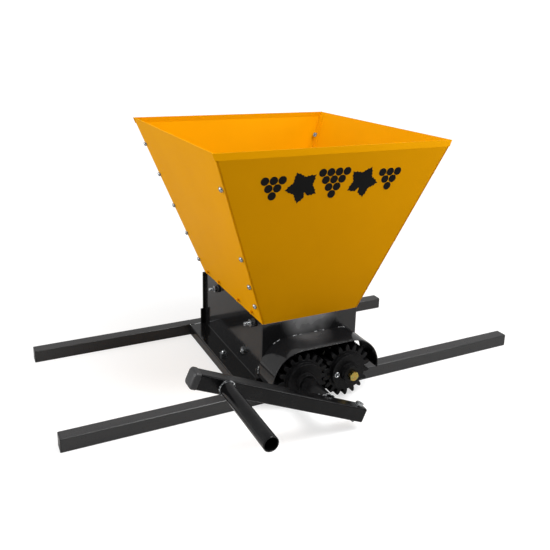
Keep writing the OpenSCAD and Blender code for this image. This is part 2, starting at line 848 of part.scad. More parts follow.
module crank_cap() color(black_plastic) at_crank() {
    wide = crank_w + cap_over;
    inner = crank_w - 2 * tube_wall - 2 * plug_fit;
    dome = wide * 0.9;
    translate([-crank_reach, (arm_back + arm_front) / 2, 0]) {
        intersection() {
            translate([-cap_h, -wide / 2, -wide / 2]) cube([cap_h, wide, wide]);
            translate([dome - cap_h, 0, 0]) sphere(r = dome);
        }
        translate([-0.5, -inner / 2, -inner / 2]) cube([plug_len, inner, inner]);
    }
}

module crank_tail_bolt() color(zinc) at_crank()
    translate([tail_bolt_reach, (arm_back + arm_front) / 2, crank_w / 2])
        hex_bolt(bolt_r, crank_w + 4, bolt_flats, bolt_head);

front_bar();
rear_bar();
rear_leg();
bar_end_plugs();
left_rail();
right_rail();
front_plate();
rear_plate();
left_wall();
right_wall();
rail_bolts();
rail_nuts();
left_deflector();
right_deflector();
deflector_bolts();
deflector_nuts();
hopper_front();
hopper_rear();
hopper_left();
hopper_right();
hopper_screws();
hopper_nuts();
left_foot();
right_foot();
foot_rivets();
foot_bolts();
foot_pads();
foot_nuts();
front_drive_bush();
front_idler_bush();
rear_drive_bush();
rear_idler_bush();
gear_guard();
drive_shaft();
idler_shaft();
drive_roller();
idler_roller();
drive_pins();
idler_pins();
drive_gear();
idler_gear();
drive_key();
idler_key();
drive_gear_screw();
idler_gear_screw();
idler_end_washer();
idler_end_bolt();
drive_collar();
idler_collar();
drive_collar_screw();
idler_collar_screw();
crank_arm();
crank_socket();
crank_socket_screw();
crank_handle();
crank_cap();
crank_tail_bolt();
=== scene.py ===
"""Hand-cranked grape crusher: sheet hopper, roller box, two geared rollers, crank and bars."""
import bmesh
import bpy
import json
import math
from mathutils import Matrix, Vector

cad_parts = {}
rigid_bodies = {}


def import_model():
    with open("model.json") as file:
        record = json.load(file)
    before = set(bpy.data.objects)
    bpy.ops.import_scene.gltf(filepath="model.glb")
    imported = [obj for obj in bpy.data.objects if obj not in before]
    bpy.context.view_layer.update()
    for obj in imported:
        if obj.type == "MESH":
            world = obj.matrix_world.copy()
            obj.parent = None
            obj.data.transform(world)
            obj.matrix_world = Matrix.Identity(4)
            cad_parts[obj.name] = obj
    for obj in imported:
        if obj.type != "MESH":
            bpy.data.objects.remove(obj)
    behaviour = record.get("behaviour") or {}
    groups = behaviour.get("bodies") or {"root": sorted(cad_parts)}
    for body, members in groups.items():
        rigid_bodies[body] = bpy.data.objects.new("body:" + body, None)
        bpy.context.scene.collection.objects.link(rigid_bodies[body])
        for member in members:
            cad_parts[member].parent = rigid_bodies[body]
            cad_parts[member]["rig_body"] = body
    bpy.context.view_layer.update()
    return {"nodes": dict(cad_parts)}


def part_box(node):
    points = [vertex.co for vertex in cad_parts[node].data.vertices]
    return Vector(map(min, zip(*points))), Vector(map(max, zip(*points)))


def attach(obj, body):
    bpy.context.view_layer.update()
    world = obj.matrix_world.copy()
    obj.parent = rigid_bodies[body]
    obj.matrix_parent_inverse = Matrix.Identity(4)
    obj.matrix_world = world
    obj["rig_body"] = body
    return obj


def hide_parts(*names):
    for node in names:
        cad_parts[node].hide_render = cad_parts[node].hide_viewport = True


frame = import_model()

MM = 0.001

# ---------------------------------------------------------------- places, from the frame

plate_low, plate_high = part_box("front_plate")
rear_plate_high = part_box("rear_plate")[1]
side_low, side_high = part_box("hopper_left")
arm_low, arm_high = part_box("crank_arm")
handle_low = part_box("crank_handle")[0]
roller_low, roller_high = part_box("drive_roller")
bar_low, bar_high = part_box("front_bar")
rear_bar_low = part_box("rear_bar")[0]
leg_low, leg_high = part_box("rear_leg")

CENTRE = Vector(((plate_low.x + plate_high.x) / 2, (plate_low.y + rear_plate_high.y) / 2, 0))
BOX_TOP = plate_high.z
RIM_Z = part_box("hopper_front")[1].z
SHEET = 1.2 * MM
LIP_Z = RIM_Z - 9 * MM
HALF_BOX_W = 79 * MM
HALF_BOX_D = (rear_plate_high.y - plate_low.y) / 2
HALF_RIM_W = CENTRE.x - side_low.x
HALF_RIM_D = (side_high.y - side_low.y) / 2
SLOPE_X = (HALF_RIM_W - HALF_BOX_W) / (RIM_Z - BOX_TOP)
SLOPE_Y = (HALF_RIM_D - HALF_BOX_D) / (LIP_Z - BOX_TOP)
SHEET_X = SHEET * math.hypot(1, SLOPE_X)
SHAFT = Vector(((roller_low.x + roller_high.x) / 2, 0, (roller_low.z + roller_high.z) / 2))
UP = Vector((0, 0, 1))
FRONT = Vector((0, -1, 0))
ACROSS = Vector((1, 0, 0))


def half_w(z):
    """Half the hopper's width at a height"""
    return HALF_BOX_W + (z - BOX_TOP) * SLOPE_X


def half_d(z):
    """Half the hopper's depth at a height, which stays the same up the lip"""
    return HALF_BOX_D + (min(z, LIP_Z) - BOX_TOP) * SLOPE_Y


# ---------------------------------------------------------------- nodes


def linear(code):
    """sRGB hex colour to linear RGBA"""
    parts = [int(code[i:i + 2], 16) / 255 for i in (1, 3, 5)]
    return (*[c / 12.92 if c <= 0.04045 else ((c + 0.055) / 1.055) ** 2.4 for c in parts], 1)


def add(tree, kind, inputs, out=0, **settings):
    """Adds a node, fills its sockets with values, hex colours or other sockets, and gives one
    of its output sockets. Sockets whose names repeat go by number: in a Map Range 0 is the
    value, 1 and 2 the range it comes from, 3 and 4 the range it goes to, and in a colour Mix
    0 is the share, 6 and 7 the two colours."""
    node = tree.nodes.new(kind)
    for key, value in settings.items():
        setattr(node, key, value)
    for socket, value in inputs.items():
        if isinstance(value, bpy.types.NodeSocket):
            tree.links.new(value, node.inputs[socket])
        elif isinstance(value, str) and value.startswith("#"):
            node.inputs[socket].default_value = linear(value)
        else:
            node.inputs[socket].default_value = value
    return node.outputs[out] if len(node.outputs) else node


def made(finish):
    """The material that a finish function draws, from its tree and the point on the piece"""
    mat = bpy.data.materials.new(finish.__name__)
    mat.use_nodes = True
    tree = mat.node_tree
    tree.nodes.clear()
    place = add(tree, "ShaderNodeTexCoord", {}, "Object")
    add(tree, "ShaderNodeOutputMaterial", {"Surface": finish(tree, place)})
    return mat


# ---------------------------------------------------------------- finishes


def powder_coat_yellow(tree, place):
    """Polyester powder coat on sheet steel: even amber, low sheen, faint orange peel. The
    peel is about 1 mm in the real coat and is drawn at 1.6 mm, so that it shows."""
    cloud = add(tree, "ShaderNodeTexNoise", {"Vector": place, "Scale": 1 / (90 * MM), "Detail": 3})
    tone = add(tree, "ShaderNodeMix", {0: cloud, 6: "#E09800", 7: "#E8A000"}, 2, data_type="RGBA")
    speck = add(tree, "ShaderNodeTexNoise", {"Vector": place, "Scale": 1 / (1.2 * MM), "Detail": 1})
    gloss = add(tree, "ShaderNodeMapRange", {0: speck, 1: 0.3, 2: 0.7, 3: 0.42, 4: 0.55})
    wave = add(tree, "ShaderNodeTexNoise", {"Vector": place, "Scale": 1 / (80 * MM), "Detail": 1})
    sheet = add(tree, "ShaderNodeBump", {"Height": wave, "Distance": 0.8 * MM, "Strength": 0.4})
    peel = add(tree, "ShaderNodeTexNoise", {
        "Vector": place, "Scale": 1 / (1.6 * MM), "Detail": 1.5})
    skin = add(tree, "ShaderNodeBump", {"Height": peel, "Distance": 0.04 * MM, "Strength": 0.5,
                                        "Normal": sheet})
    return add(tree, "ShaderNodeBsdfPrincipled", {
        "Base Color": tone, "Roughness": gloss, "Normal": skin, "Specular IOR Level": 0.02})


def gloss_black_enamel(tree, place):
    """Sprayed enamel on folded sheet: near black, with clear but wavy reflections, and a painted
    reflection of a soft box, grey and dull, on the front plate over the gears and the guard's top"""
    cloud = add(tree, "ShaderNodeTexNoise", {"Vector": place, "Scale": 1 / (50 * MM), "Detail": 4})
    paint = add(tree, "ShaderNodeMix", {0: cloud, 6: "#0F0F10", 7: "#19191A"}, 2, data_type="RGBA")
    # painted reflection of a soft box: a streaky grey spot, dull and fading outward, on the front
    # plate over the gears
    reflection_spot = (CENTRE.x - 3 * MM, plate_low.y, 120 * MM)
    off = add(tree, "ShaderNodeVectorMath", {0: place, 1: reflection_spot}, 1, operation="DISTANCE")
    near = add(tree, "ShaderNodeMapRange", {0: off, 1: 8 * MM, 2: 52 * MM, 3: 1, 4: 0},
               interpolation_type="SMOOTHSTEP")
    drift = add(tree, "ShaderNodeTexNoise", {"Vector": place, "Scale": 1 / (34 * MM), "Detail": 2})
    thin = add(tree, "ShaderNodeMapRange", {0: drift, 1: 0.3, 2: 0.6, 3: 0.3, 4: 1})
    painted_reflection = add(tree, "ShaderNodeMath", {0: near, 1: thin}, operation="MULTIPLY")
    tone = add(tree, "ShaderNodeMix", {0: painted_reflection, 6: paint, 7: "#8C8C8D"}, 2, data_type="RGBA")
    film = add(tree, "ShaderNodeTexNoise", {"Vector": place, "Scale": 1 / (7 * MM), "Detail": 2})
    wet = add(tree, "ShaderNodeMapRange", {0: film, 1: 0.3, 2: 0.7, 3: 0.09, 4: 0.16})
    gloss = add(tree, "ShaderNodeMix", {0: painted_reflection, 2: wet, 3: 0.4}, 0)
    wave = add(tree, "ShaderNodeTexNoise", {"Vector": place, "Scale": 1 / (40 * MM), "Detail": 1})
    sheet = add(tree, "ShaderNodeBump", {"Height": wave, "Distance": 0.5 * MM, "Strength": 0.5})
    peel = add(tree, "ShaderNodeTexNoise", {"Vector": place, "Scale": 1 / (2 * MM), "Detail": 1.5})
    skin = add(tree, "ShaderNodeBump", {"Height": peel, "Distance": 0.012 * MM, "Strength": 0.4,
                                        "Normal": sheet})
    return add(tree, "ShaderNodeBsdfPrincipled", {
        "Base Color": tone, "Roughness": gloss, "Normal": skin})


def satin_bar_enamel(tree, place):
    """Satin enamel on drawn tube: dark grey with a soft sheen, faint streaks along the draw
    and fine grit"""
    drawn = add(tree, "ShaderNodeMapping", {"Vector": place, "Scale": (0.06, 1, 1)})
    streak = add(tree, "ShaderNodeTexNoise", {"Vector": drawn, "Scale": 1 / (4 * MM), "Detail": 3})
    tone = add(tree, "ShaderNodeMix", {0: streak, 6: "#262627", 7: "#323233"}, 2, data_type="RGBA")
    grit = add(tree, "ShaderNodeTexNoise", {"Vector": place, "Scale": 1 / (1.3 * MM), "Detail": 2})
    gloss = add(tree, "ShaderNodeMapRange", {0: grit, 1: 0.3, 2: 0.7, 3: 0.27, 4: 0.38})
    skin = add(tree, "ShaderNodeBump", {"Height": grit, "Distance": 0.04 * MM, "Strength": 0.5})
    return add(tree, "ShaderNodeBsdfPrincipled", {
        "Base Color": tone, "Roughness": gloss, "Normal": skin, "Specular IOR Level": 0.5})


def dipped_crank_enamel(tree, place):
    """Dipped black enamel on the crank: darker than the bars, dulled where hands rub it"""
    rub = add(tree, "ShaderNodeTexNoise", {"Vector": place, "Scale": 1 / (14 * MM), "Detail": 5})
    worn = add(tree, "ShaderNodeMapRange", {0: rub, 1: 0.45, 2: 0.75, 3: 0, 4: 1})
    tone = add(tree, "ShaderNodeMix", {0: worn, 6: "#0D0D0E", 7: "#171718"}, 2, data_type="RGBA")
    gloss = add(tree, "ShaderNodeMapRange", {0: rub, 1: 0.3, 2: 0.7, 3: 0.16, 4: 0.26})
    sag = add(tree, "ShaderNodeTexNoise", {"Vector": place, "Scale": 1 / (4 * MM), "Detail": 2})
    skin = add(tree, "ShaderNodeBump", {"Height": sag, "Distance": 0.025 * MM, "Strength": 0.3})
    return add(tree, "ShaderNodeBsdfPrincipled", {
        "Base Color": tone, "Roughness": gloss, "Normal": skin, "Specular IOR Level": 0.2})


def bright_zinc_plate(tree, place):
    """Bright zinc plate on cold-headed steel: cool pale grey with soft clouds"""
    cloud = add(tree, "ShaderNodeTexNoise", {"Vector": place, "Scale": 1 / (3 * MM), "Detail": 3})
    tone = add(tree, "ShaderNodeMix", {0: cloud, 6: "#93979A", 7: "#C6C8C9"}, 2, data_type="RGBA")
    gloss = add(tree, "ShaderNodeMapRange", {0: cloud, 1: 0.3, 2: 0.7, 3: 0.2, 4: 0.36})
    mark = add(tree, "ShaderNodeTexNoise", {"Vector": place, "Scale": 1 / (0.5 * MM), "Detail": 2})
    skin = add(tree, "ShaderNodeBump", {"Height": mark, "Distance": 0.01 * MM, "Strength": 0.5})
    return add(tree, "ShaderNodeBsdfPrincipled", {
        "Base Color": tone, "Roughness": gloss, "Normal": skin, "Metallic": 1.0})


def yellow_chromated_zinc(tree, place):
    """Chromated zinc plate: straw yellow that drifts to rose and green"""
    drift = add(tree, "ShaderNodeTexNoise", {"Vector": place, "Scale": 1 / (4 * MM), "Detail": 2})
    low = add(tree, "ShaderNodeMapRange", {0: drift, 1: 0.35, 2: 0.55, 3: 0, 4: 1})
    straw = add(tree, "ShaderNodeMix", {0: low, 6: "#A3A163", 7: "#BFA24A"}, 2, data_type="RGBA")
    high = add(tree, "ShaderNodeMapRange", {0: drift, 1: 0.56, 2: 0.7, 3: 0, 4: 1})
    tone = add(tree, "ShaderNodeMix", {0: high, 6: straw, 7: "#B08362"}, 2, data_type="RGBA")
    gloss = add(tree, "ShaderNodeMapRange", {0: drift, 1: 0.3, 2: 0.7, 3: 0.2, 4: 0.34})
    return add(tree, "ShaderNodeBsdfPrincipled", {
        "Base Color": tone, "Roughness": gloss, "Metallic": 1.0})


def black_oxide_steel(tree, place):
    """Blackened steel: dark and dry with an oily sheen, pitted, paler on its high spots"""
    grain = add(tree, "ShaderNodeTexNoise", {"Vector": place, "Scale": 1 / (4 * MM), "Detail": 6,
                                             "Roughness": 0.65})
    high = add(tree, "ShaderNodeMapRange", {0: grain, 1: 0.4, 2: 0.75, 3: 0, 4: 1})
    tone = add(tree, "ShaderNodeMix", {0: high, 6: "#0B0B0C", 7: "#1C1C1D"}, 2, data_type="RGBA")
    gloss = add(tree, "ShaderNodeMapRange", {0: grain, 1: 0.3, 2: 0.7, 3: 0.34, 4: 0.52})
    skin = add(tree, "ShaderNodeBump", {"Height": grain, "Distance": 0.1 * MM, "Strength": 0.6})
    return add(tree, "ShaderNodeBsdfPrincipled", {
        "Base Color": tone, "Roughness": gloss, "Normal": skin, "Metallic": 0.3,
        "Specular IOR Level": 0.2})


def sand_cast_aluminium(tree, place):
    """Sand-cast aluminium: pale, matt, grainy, with darker pores"""
    grain = add(tree, "ShaderNodeTexNoise", {"Vector": place, "Scale": 1 / (2.5 * MM), "Detail": 6,
                                             "Roughness": 0.6})
    tone = add(tree, "ShaderNodeMix", {0: grain, 6: "#85888A", 7: "#BCBEC0"}, 2, data_type="RGBA")
    gloss = add(tree, "ShaderNodeMapRange", {0: grain, 1: 0.3, 2: 0.7, 3: 0.4, 4: 0.6})
    skin = add(tree, "ShaderNodeBump", {"Height": grain, "Distance": 0.25 * MM, "Strength": 0.7})
    return add(tree, "ShaderNodeBsdfPrincipled", {
        "Base Color": tone, "Roughness": gloss, "Normal": skin, "Metallic": 1.0})


def ground_bright_bar(tree, place):
    """Ground steel bar: bright, with fine rings round its axis, drawn at 1 mm so they show"""
    ring = add(tree, "ShaderNodeTexWave", {
        "Vector": place, "Scale": 1 / (3 * MM), "Distortion": 1.5, "Detail": 2}, 1,
               bands_direction="Y")
    tone = add(tree, "ShaderNodeMix", {0: ring, 6: "#A2A4A6", 7: "#C4C6C8"}, 2, data_type="RGBA")
    gloss = add(tree, "ShaderNodeMapRange", {0: ring, 1: 0, 2: 1, 3: 0.22, 4: 0.34})
    return add(tree, "ShaderNodeBsdfPrincipled", {
        "Base Color": tone, "Roughness": gloss, "Metallic": 1.0})


def turned_nylon(tree, place):
    """Turned nylon: milky, waxy, with tool rings 1 mm apart"""
    cloud = add(tree, "ShaderNodeTexNoise", {"Vector": place, "Scale": 1 / (12 * MM), "Detail": 2})
    tone = add(tree, "ShaderNodeMix", {0: cloud, 6: "#DAD6C6", 7: "#EFECE1"}, 2, data_type="RGBA")
    ring = add(tree, "ShaderNodeTexWave", {"Vector": place, "Scale": 1 / (3 * MM)}, 1,
               bands_direction="Y")
    skin = add(tree, "ShaderNodeBump", {"Height": ring, "Distance": 0.03 * MM, "Strength": 0.5})
    return add(tree, "ShaderNodeBsdfPrincipled", {
        "Base Color": tone, "Roughness": 0.42, "Normal": skin})


def moulded_polyethylene(tree, place):
    """Moulded polyethylene cap: charcoal, low sheen, eroded mould grain"""
    grain = add(tree, "ShaderNodeTexNoise", {"Vector": place, "Scale": 1 / (0.9 * MM), "Detail": 3})
    tone = add(tree, "ShaderNodeMix", {0: grain, 6: "#1F1F20", 7: "#303031"}, 2, data_type="RGBA")
    gloss = add(tree, "ShaderNodeMapRange", {0: grain, 1: 0.3, 2: 0.7, 3: 0.4, 4: 0.58})
    skin = add(tree, "ShaderNodeBump", {"Height": grain, "Distance": 0.05 * MM, "Strength": 0.6})
    return add(tree, "ShaderNodeBsdfPrincipled", {
        "Base Color": tone, "Roughness": gloss, "Normal": skin})


def pad_rubber(tree, place):
    """Moulded rubber washer: matt black with a grey bloom"""
    bloom = add(tree, "ShaderNodeTexNoise", {"Vector": place, "Scale": 1 / (2 * MM), "Detail": 4})
    tone = add(tree, "ShaderNodeMix", {0: bloom, 6: "#141415", 7: "#2C2C2D"}, 2, data_type="RGBA")
    gloss = add(tree, "ShaderNodeMapRange", {0: bloom, 1: 0.3, 2: 0.7, 3: 0.5, 4: 0.75})
    return add(tree, "ShaderNodeBsdfPrincipled", {"Base Color": tone, "Roughness": gloss})


def painted_weld(tree, place):
    """Weld bead under thin black paint: lumpy, with bright bare spots"""
    patch = add(tree, "ShaderNodeTexNoise", {"Vector": place, "Scale": 1 / (2.5 * MM), "Detail": 3})
    bare = add(tree, "ShaderNodeMapRange", {0: patch, 1: 0.44, 2: 0.56, 3: 0, 4: 1})
    tone = add(tree, "ShaderNodeMix", {0: bare, 6: "#2A2B2D", 7: "#C4C6C8"}, 2, data_type="RGBA")
    gloss = add(tree, "ShaderNodeMapRange", {0: patch, 1: 0.4, 2: 0.7, 3: 0.35, 4: 0.2})
    skin = add(tree, "ShaderNodeBump", {"Height": patch, "Distance": 0.2 * MM, "Strength": 0.6})
    return add(tree, "ShaderNodeBsdfPrincipled", {
        "Base Color": tone, "Roughness": gloss, "Normal": skin, "Metallic": 0.5})


def printed_vinyl(tree, place):
    """Printed vinyl: black satin ink with a faint grain"""
    grain = add(tree, "ShaderNodeTexNoise", {"Vector": place, "Scale": 1 / (0.8 * MM), "Detail": 2})
    tone = add(tree, "ShaderNodeMix", {0: grain, 6: "#050505", 7: "#0A0A0A"}, 2, data_type="RGBA")
    gloss = add(tree, "ShaderNodeMapRange", {0: grain, 1: 0.3, 2: 0.7, 3: 0.3, 4: 0.42})
    return add(tree, "ShaderNodeBsdfPrincipled", {
        "Base Color": tone, "Roughness": gloss, "Specular IOR Level": 0.1})


def studio_floor(tree, place):
    """Seamless card: matt and nearly even. The camera sees it white, lit to pure white away
    from the machine. Bounced light and reflections see it grey, so the black pieces stay dark."""
    cloud = add(tree, "ShaderNodeTexNoise", {"Vector": place, "Scale": 1 / (400 * MM)})
    tone = add(tree, "ShaderNodeMix", {0: cloud, 6: "#FAFAFA", 7: "#FDFDFD"}, 2, data_type="RGBA")
    seen = add(tree, "ShaderNodeLightPath", {}, "Is Camera Ray")
    mirrored = add(tree, "ShaderNodeLightPath", {}, "Is Glossy Ray")
    grey = add(tree, "ShaderNodeMix", {0: mirrored, 6: "#A0A0A0", 7: "#BEBEBE"}, 2,
               data_type="RGBA")
    shown = add(tree, "ShaderNodeMix", {0: seen, 6: grey, 7: tone}, 2, data_type="RGBA")
    card = add(tree, "ShaderNodeBsdfPrincipled", {"Base Color": shown, "Roughness": 0.7})
    far = add(tree, "ShaderNodeVectorMath", {0: place}, 1, operation="LENGTH")
    white = add(tree, "ShaderNodeMapRange", {0: far, 1: 0.15, 2: 0.65, 3: 0.55, 4: 1},
                interpolation_type="SMOOTHSTEP")
    share = add(tree, "ShaderNodeMath", {0: white, 1: seen}, operation="MULTIPLY")
    lamp = add(tree, "ShaderNodeEmission", {"Color": "#FFFFFF", "Strength": 1.1})
    return add(tree, "ShaderNodeMixShader", {0: share, 1: card, 2: lamp})


YELLOW = made(powder_coat_yellow)
BLACK = made(gloss_black_enamel)
BAR = made(satin_bar_enamel)
CRANK = made(dipped_crank_enamel)
ZINC = made(bright_zinc_plate)
CHROMATED = made(yellow_chromated_zinc)
OXIDE = made(black_oxide_steel)
ALUMINIUM = made(sand_cast_aluminium)
STEEL = made(ground_bright_bar)
NYLON = made(turned_nylon)
CAP = made(moulded_polyethylene)
RUBBER = made(pad_rubber)
WELD = made(painted_weld)
VINYL = made(printed_vinyl)

# ---------------------------------------------------------------- making pieces


def piece_from(name, bm):
    mesh = bpy.data.meshes.new(name)
    bm.to_mesh(mesh)
    bm.free()
    obj = bpy.data.objects.new(name, mesh)
    bpy.context.scene.collection.objects.link(obj)
    return obj


def baked(obj):
    """Turns an object and its modifiers into a plain mesh"""
    shape = obj.evaluated_get(bpy.context.evaluated_depsgraph_get())
    mesh = bpy.data.meshes.new_from_object(shape)
    obj.modifiers.clear()
    obj.data = mesh
    return obj


def finished(obj, material, body, *nodes, angle=35):
    """Gives a piece its material, soft shading that keeps flats flat and its body, and hides the
    CAD nodes that it stands for"""
    obj.data.materials.clear()
    obj.data.materials.append(material)
    obj.data.shade_smooth()
    obj.data.set_sharp_from_angle(angle=math.radians(angle))
    obj.modifiers.new("flats", "WEIGHTED_NORMAL").keep_sharp = True
    baked(obj)
    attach(obj, body)
    if nodes:
        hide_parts(*nodes)
    return obj


def in_place(node, obj, material, angle=35):
    """Finishes a piece that stands in the place of a CAD node"""
    return finished(obj, material, frame["nodes"][node]["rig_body"], node, angle=angle)


def rounded_edges(obj, width, segments=2, angle=30):
    bevel = obj.modifiers.new("round", "BEVEL")
    bevel.width = width
    bevel.segments = segments
    bevel.limit_method = "ANGLE"
    bevel.angle_limit = math.radians(angle)
    return baked(obj)


def whole_faces(node):
    """The mesh of a CAD node with its loose triangles joined into flat faces"""
    bm = bmesh.new()
    bm.from_mesh(frame["nodes"][node].data)
    bmesh.ops.remove_doubles(bm, verts=bm.verts, dist=2e-6)
    bmesh.ops.dissolve_limit(bm, angle_limit=math.radians(0.3), verts=bm.verts, edges=bm.edges)
    return bm


def softened(node, width, material, segments=2, angle=30):
    """Stands a copy of a CAD node with rounded edges in its place"""
    obj = rounded_edges(piece_from(node + "_piece", whole_faces(node)), width, segments, angle)
    return in_place(node, obj, material)


def folded(node, thick, radius, width):
    """As softened, for black folded sheet: its bends get a radius and its cut edges a small
    one. A bend is a long edge with a turn, and sheet wider than its thickness on both sides."""
    bm = whole_faces(node)
    outer, inner = [], []
    for edge in bm.edges:
        if len(edge.link_faces) != 2 or edge.calc_length() < 20 * thick:
            continue
        turn = edge.calc_face_angle_signed()
        widths = [face.calc_area() / edge.calc_length() for face in edge.link_faces]
        if abs(turn) > math.radians(15) and min(widths) > 1.6 * thick:
            (outer if turn > 0 else inner).append(edge)
    for edges, r in ((outer, radius), (inner, radius - thick)):
        live = [e for e in edges if e.is_valid]
        if live:
            bmesh.ops.bevel(bm, geom=live, offset=r, segments=5, profile=0.5, affect="EDGES",
                            clamp_overlap=True)
    return in_place(node, rounded_edges(piece_from(node + "_piece", bm), width), BLACK)


def turned(bm, profile, at, axis, segments=48, square=0.0, start_side=None):
    """Adds a shape turned about an axis. profile holds (radius, distance along the axis).
    With square, the rings are rounded squares of that corner radius."""
    axis = Vector(axis).normalized()
    side = (start_side or axis.orthogonal()).normalized()
    other = axis.cross(side)
    rings = []
    for radius, along in profile:
        middle = Vector(at) + axis * along
        if radius < 1e-7:
            rings.append([bm.verts.new(middle)])
            continue
        spots = []
        for k in range(segments):
            a = 2 * math.pi * (k + 0.5) / segments
            c, s = math.cos(a), math.sin(a)
            if square:
                corner = min(square, radius * 0.98)
                flat = radius - corner
                spots.append((math.copysign(flat, c) + corner * c,
                              math.copysign(flat, s) + corner * s))
            else:
                spots.append((radius * c, radius * s))
        rings.append([bm.verts.new(middle + side * u + other * v) for u, v in spots])
    for first, second in zip(rings, rings[1:]):
        for k in range(segments):
            n = (k + 1) % segments
            loop = dict.fromkeys([first[k % len(first)], first[n % len(first)],
                                  second[n % len(second)], second[k % len(second)]])
            if len(loop) > 2:
                bm.faces.new(list(loop))


def hexed(bm, flats, low, high, chamfers, bore=0.0):
    """Adds a hexagon along Z with its corners turned off at the low end, the high end or both,
    and a bore if it has one"""
    steps = 8
    turns = [math.radians(60 * k / steps) for k in range(6 * steps)]
    apothem = flats / 2
    face_r = apothem * 0.96

    def hexagon(z, share):
        """The six sides at z, with the corners drawn along Z by a share of their reach"""
        spots = []
        for a in turns:
            reach = apothem / math.cos((a % math.radians(60)) - math.radians(30))
            drop = (reach - apothem) * 0.6 * share
            spots.append(bm.verts.new((reach * math.cos(a), reach * math.sin(a), z + drop)))
        return spots

    def circle(z, r):
        return [bm.verts.new((r * math.cos(a), r * math.sin(a), z)) for a in turns]

    rings = [circle(low, face_r)] if chamfers[0] else []
    rings += [hexagon(low, 1 if chamfers[0] else 0), hexagon(high, -1 if chamfers[1] else 0)]
    rings += [circle(high, face_r)] if chamfers[1] else []
    if bore:
        mouth = circle(low, bore)
        rings = [mouth] + rings + [circle(high, bore), mouth]
    for first, second in zip(rings, rings[1:]):
        for k in range(len(turns)):
            n = (k + 1) % len(turns)
            bm.faces.new((first[k], first[n], second[n], second[k]))
    if not bore:
        bm.faces.new(rings[0])
        bm.faces.new(rings[-1])


def apply_tree(obj, tree, **values):
    """Runs a Geometry Nodes tree on an object and keeps the result as its mesh"""
    modifier = obj.modifiers.new("nodes", "NODES")
    modifier.node_group = tree
    for item in tree.interface.items_tree:
        if item.item_type == "SOCKET" and item.in_out == "INPUT" and item.name in values:
            modifier[item.identifier] = values[item.name]
    obj.update_tag()
    return baked(obj)


def new_tree(name, **sockets):
    """A Geometry Nodes tree with named inputs. Gives the tree and its input node."""
    tree = bpy.data.node_groups.new(name, "GeometryNodeTree")
    tree.interface.new_socket("Geometry", in_out="INPUT", socket_type="NodeSocketGeometry")
    for key, kind in sockets.items():
        tree.interface.new_socket(key, in_out="INPUT", socket_type="NodeSocket" + kind)
    tree.interface.new_socket("Geometry", in_out="OUTPUT", socket_type="NodeSocketGeometry")
    return tree, tree.nodes.new("NodeGroupInput").outputs


def fastener_tree():
    """Sets one fastener on every point, facing as the point says, turned at random"""
    tree, given = new_tree("fasteners_in_place", Part="Object", Seed="Int", Finish="Material")
    part = add(tree, "GeometryNodeObjectInfo", {"Object": given["Part"]}, "Geometry")
    facing = add(tree, "GeometryNodeInputNamedAttribute", {"Name": "facing"}, "Attribute",
                 data_type="FLOAT_VECTOR")
    aim = add(tree, "FunctionNodeAlignRotationToVector", {"Vector": facing}, axis="Z")
    chance = add(tree, "FunctionNodeRandomValue", {
        2: 0.0, 3: 2 * math.pi, "Seed": given["Seed"]}, 1)
    turn = add(tree, "FunctionNodeAxisAngleToRotation", {"Axis": (0, 0, 1), "Angle": chance})
    both = add(tree, "FunctionNodeRotateRotation", {"Rotation": aim, "Rotate By": turn},
               rotation_space="LOCAL")
    stood = add(tree, "GeometryNodeInstanceOnPoints", {
        "Points": given["Geometry"], "Instance": part, "Rotation": both})
    solid = add(tree, "GeometryNodeRealizeInstances", {"Geometry": stood})
    dressed = add(tree, "GeometryNodeSetMaterial", {"Geometry": solid, "Material": given["Finish"]})
    add(tree, "NodeGroupOutput", {"Geometry": dressed})
    return tree


def thread_tree():
    """Winds a ridge up the Z axis, for the thread of a bolt"""
    tree, given = new_tree("bolt_thread", Radius="Float", Pitch="Float", Length="Float",
                           Finish="Material")
    turns = add(tree, "ShaderNodeMath", {0: given["Length"], 1: given["Pitch"]}, operation="DIVIDE")
    helix = add(tree, "GeometryNodeCurveSpiral", {
        "Resolution": 20, "Rotations": turns, "Start Radius": given["Radius"],
        "End Radius": given["Radius"], "Height": given["Length"]})
    ridge_r = add(tree, "ShaderNodeMath", {0: given["Pitch"], 1: 0.42}, operation="MULTIPLY")
    ridge = add(tree, "GeometryNodeCurvePrimitiveCircle", {"Resolution": 4, "Radius": ridge_r})
    wound = add(tree, "GeometryNodeCurveToMesh", {
        "Curve": helix, "Profile Curve": ridge, "Fill Caps": True})
    solid = add(tree, "GeometryNodeRealizeInstances", {"Geometry": wound})
    dressed = add(tree, "GeometryNodeSetMaterial", {"Geometry": solid, "Material": given["Finish"]})
    add(tree, "NodeGroupOutput", {"Geometry": dressed})
    return tree


def weld_tree():
    """Lays overlapping ripples along every line of the mesh, for a weld bead"""
    tree, given = new_tree("weld_bead", Width="Float", Step="Float", Seed="Int", Finish="Material")
    path = add(tree, "GeometryNodeMeshToCurve", {"Mesh": given["Geometry"]})
    spots = add(tree, "GeometryNodeResampleCurve", {"Curve": path, "Length": given["Step"]},
                mode="LENGTH")
    along = add(tree, "GeometryNodeInputTangent", {})
    aim = add(tree, "FunctionNodeAlignRotationToVector", {"Vector": along}, axis="Z")
    size = add(tree, "FunctionNodeRandomValue", {
        0: (0.85, 0.8, 0.5), 1: (1.2, 1.15, 0.75), "Seed": given["Seed"]}, data_type="FLOAT_VECTOR")
    drop = add(tree, "GeometryNodeMeshUVSphere", {
        "Segments": 10, "Rings": 6, "Radius": given["Width"]})
    laid = add(tree, "GeometryNodeInstanceOnPoints", {
        "Points": spots, "Instance": drop, "Rotation": aim, "Scale": size})
    solid = add(tree, "GeometryNodeRealizeInstances", {"Geometry": laid})
    dressed = add(tree, "GeometryNodeSetMaterial", {"Geometry": solid, "Material": given["Finish"]})
    add(tree, "NodeGroupOutput", {"Geometry": dressed})
    return tree


FASTENERS = fastener_tree()
THREAD = thread_tree()
WELD_BEAD = weld_tree()


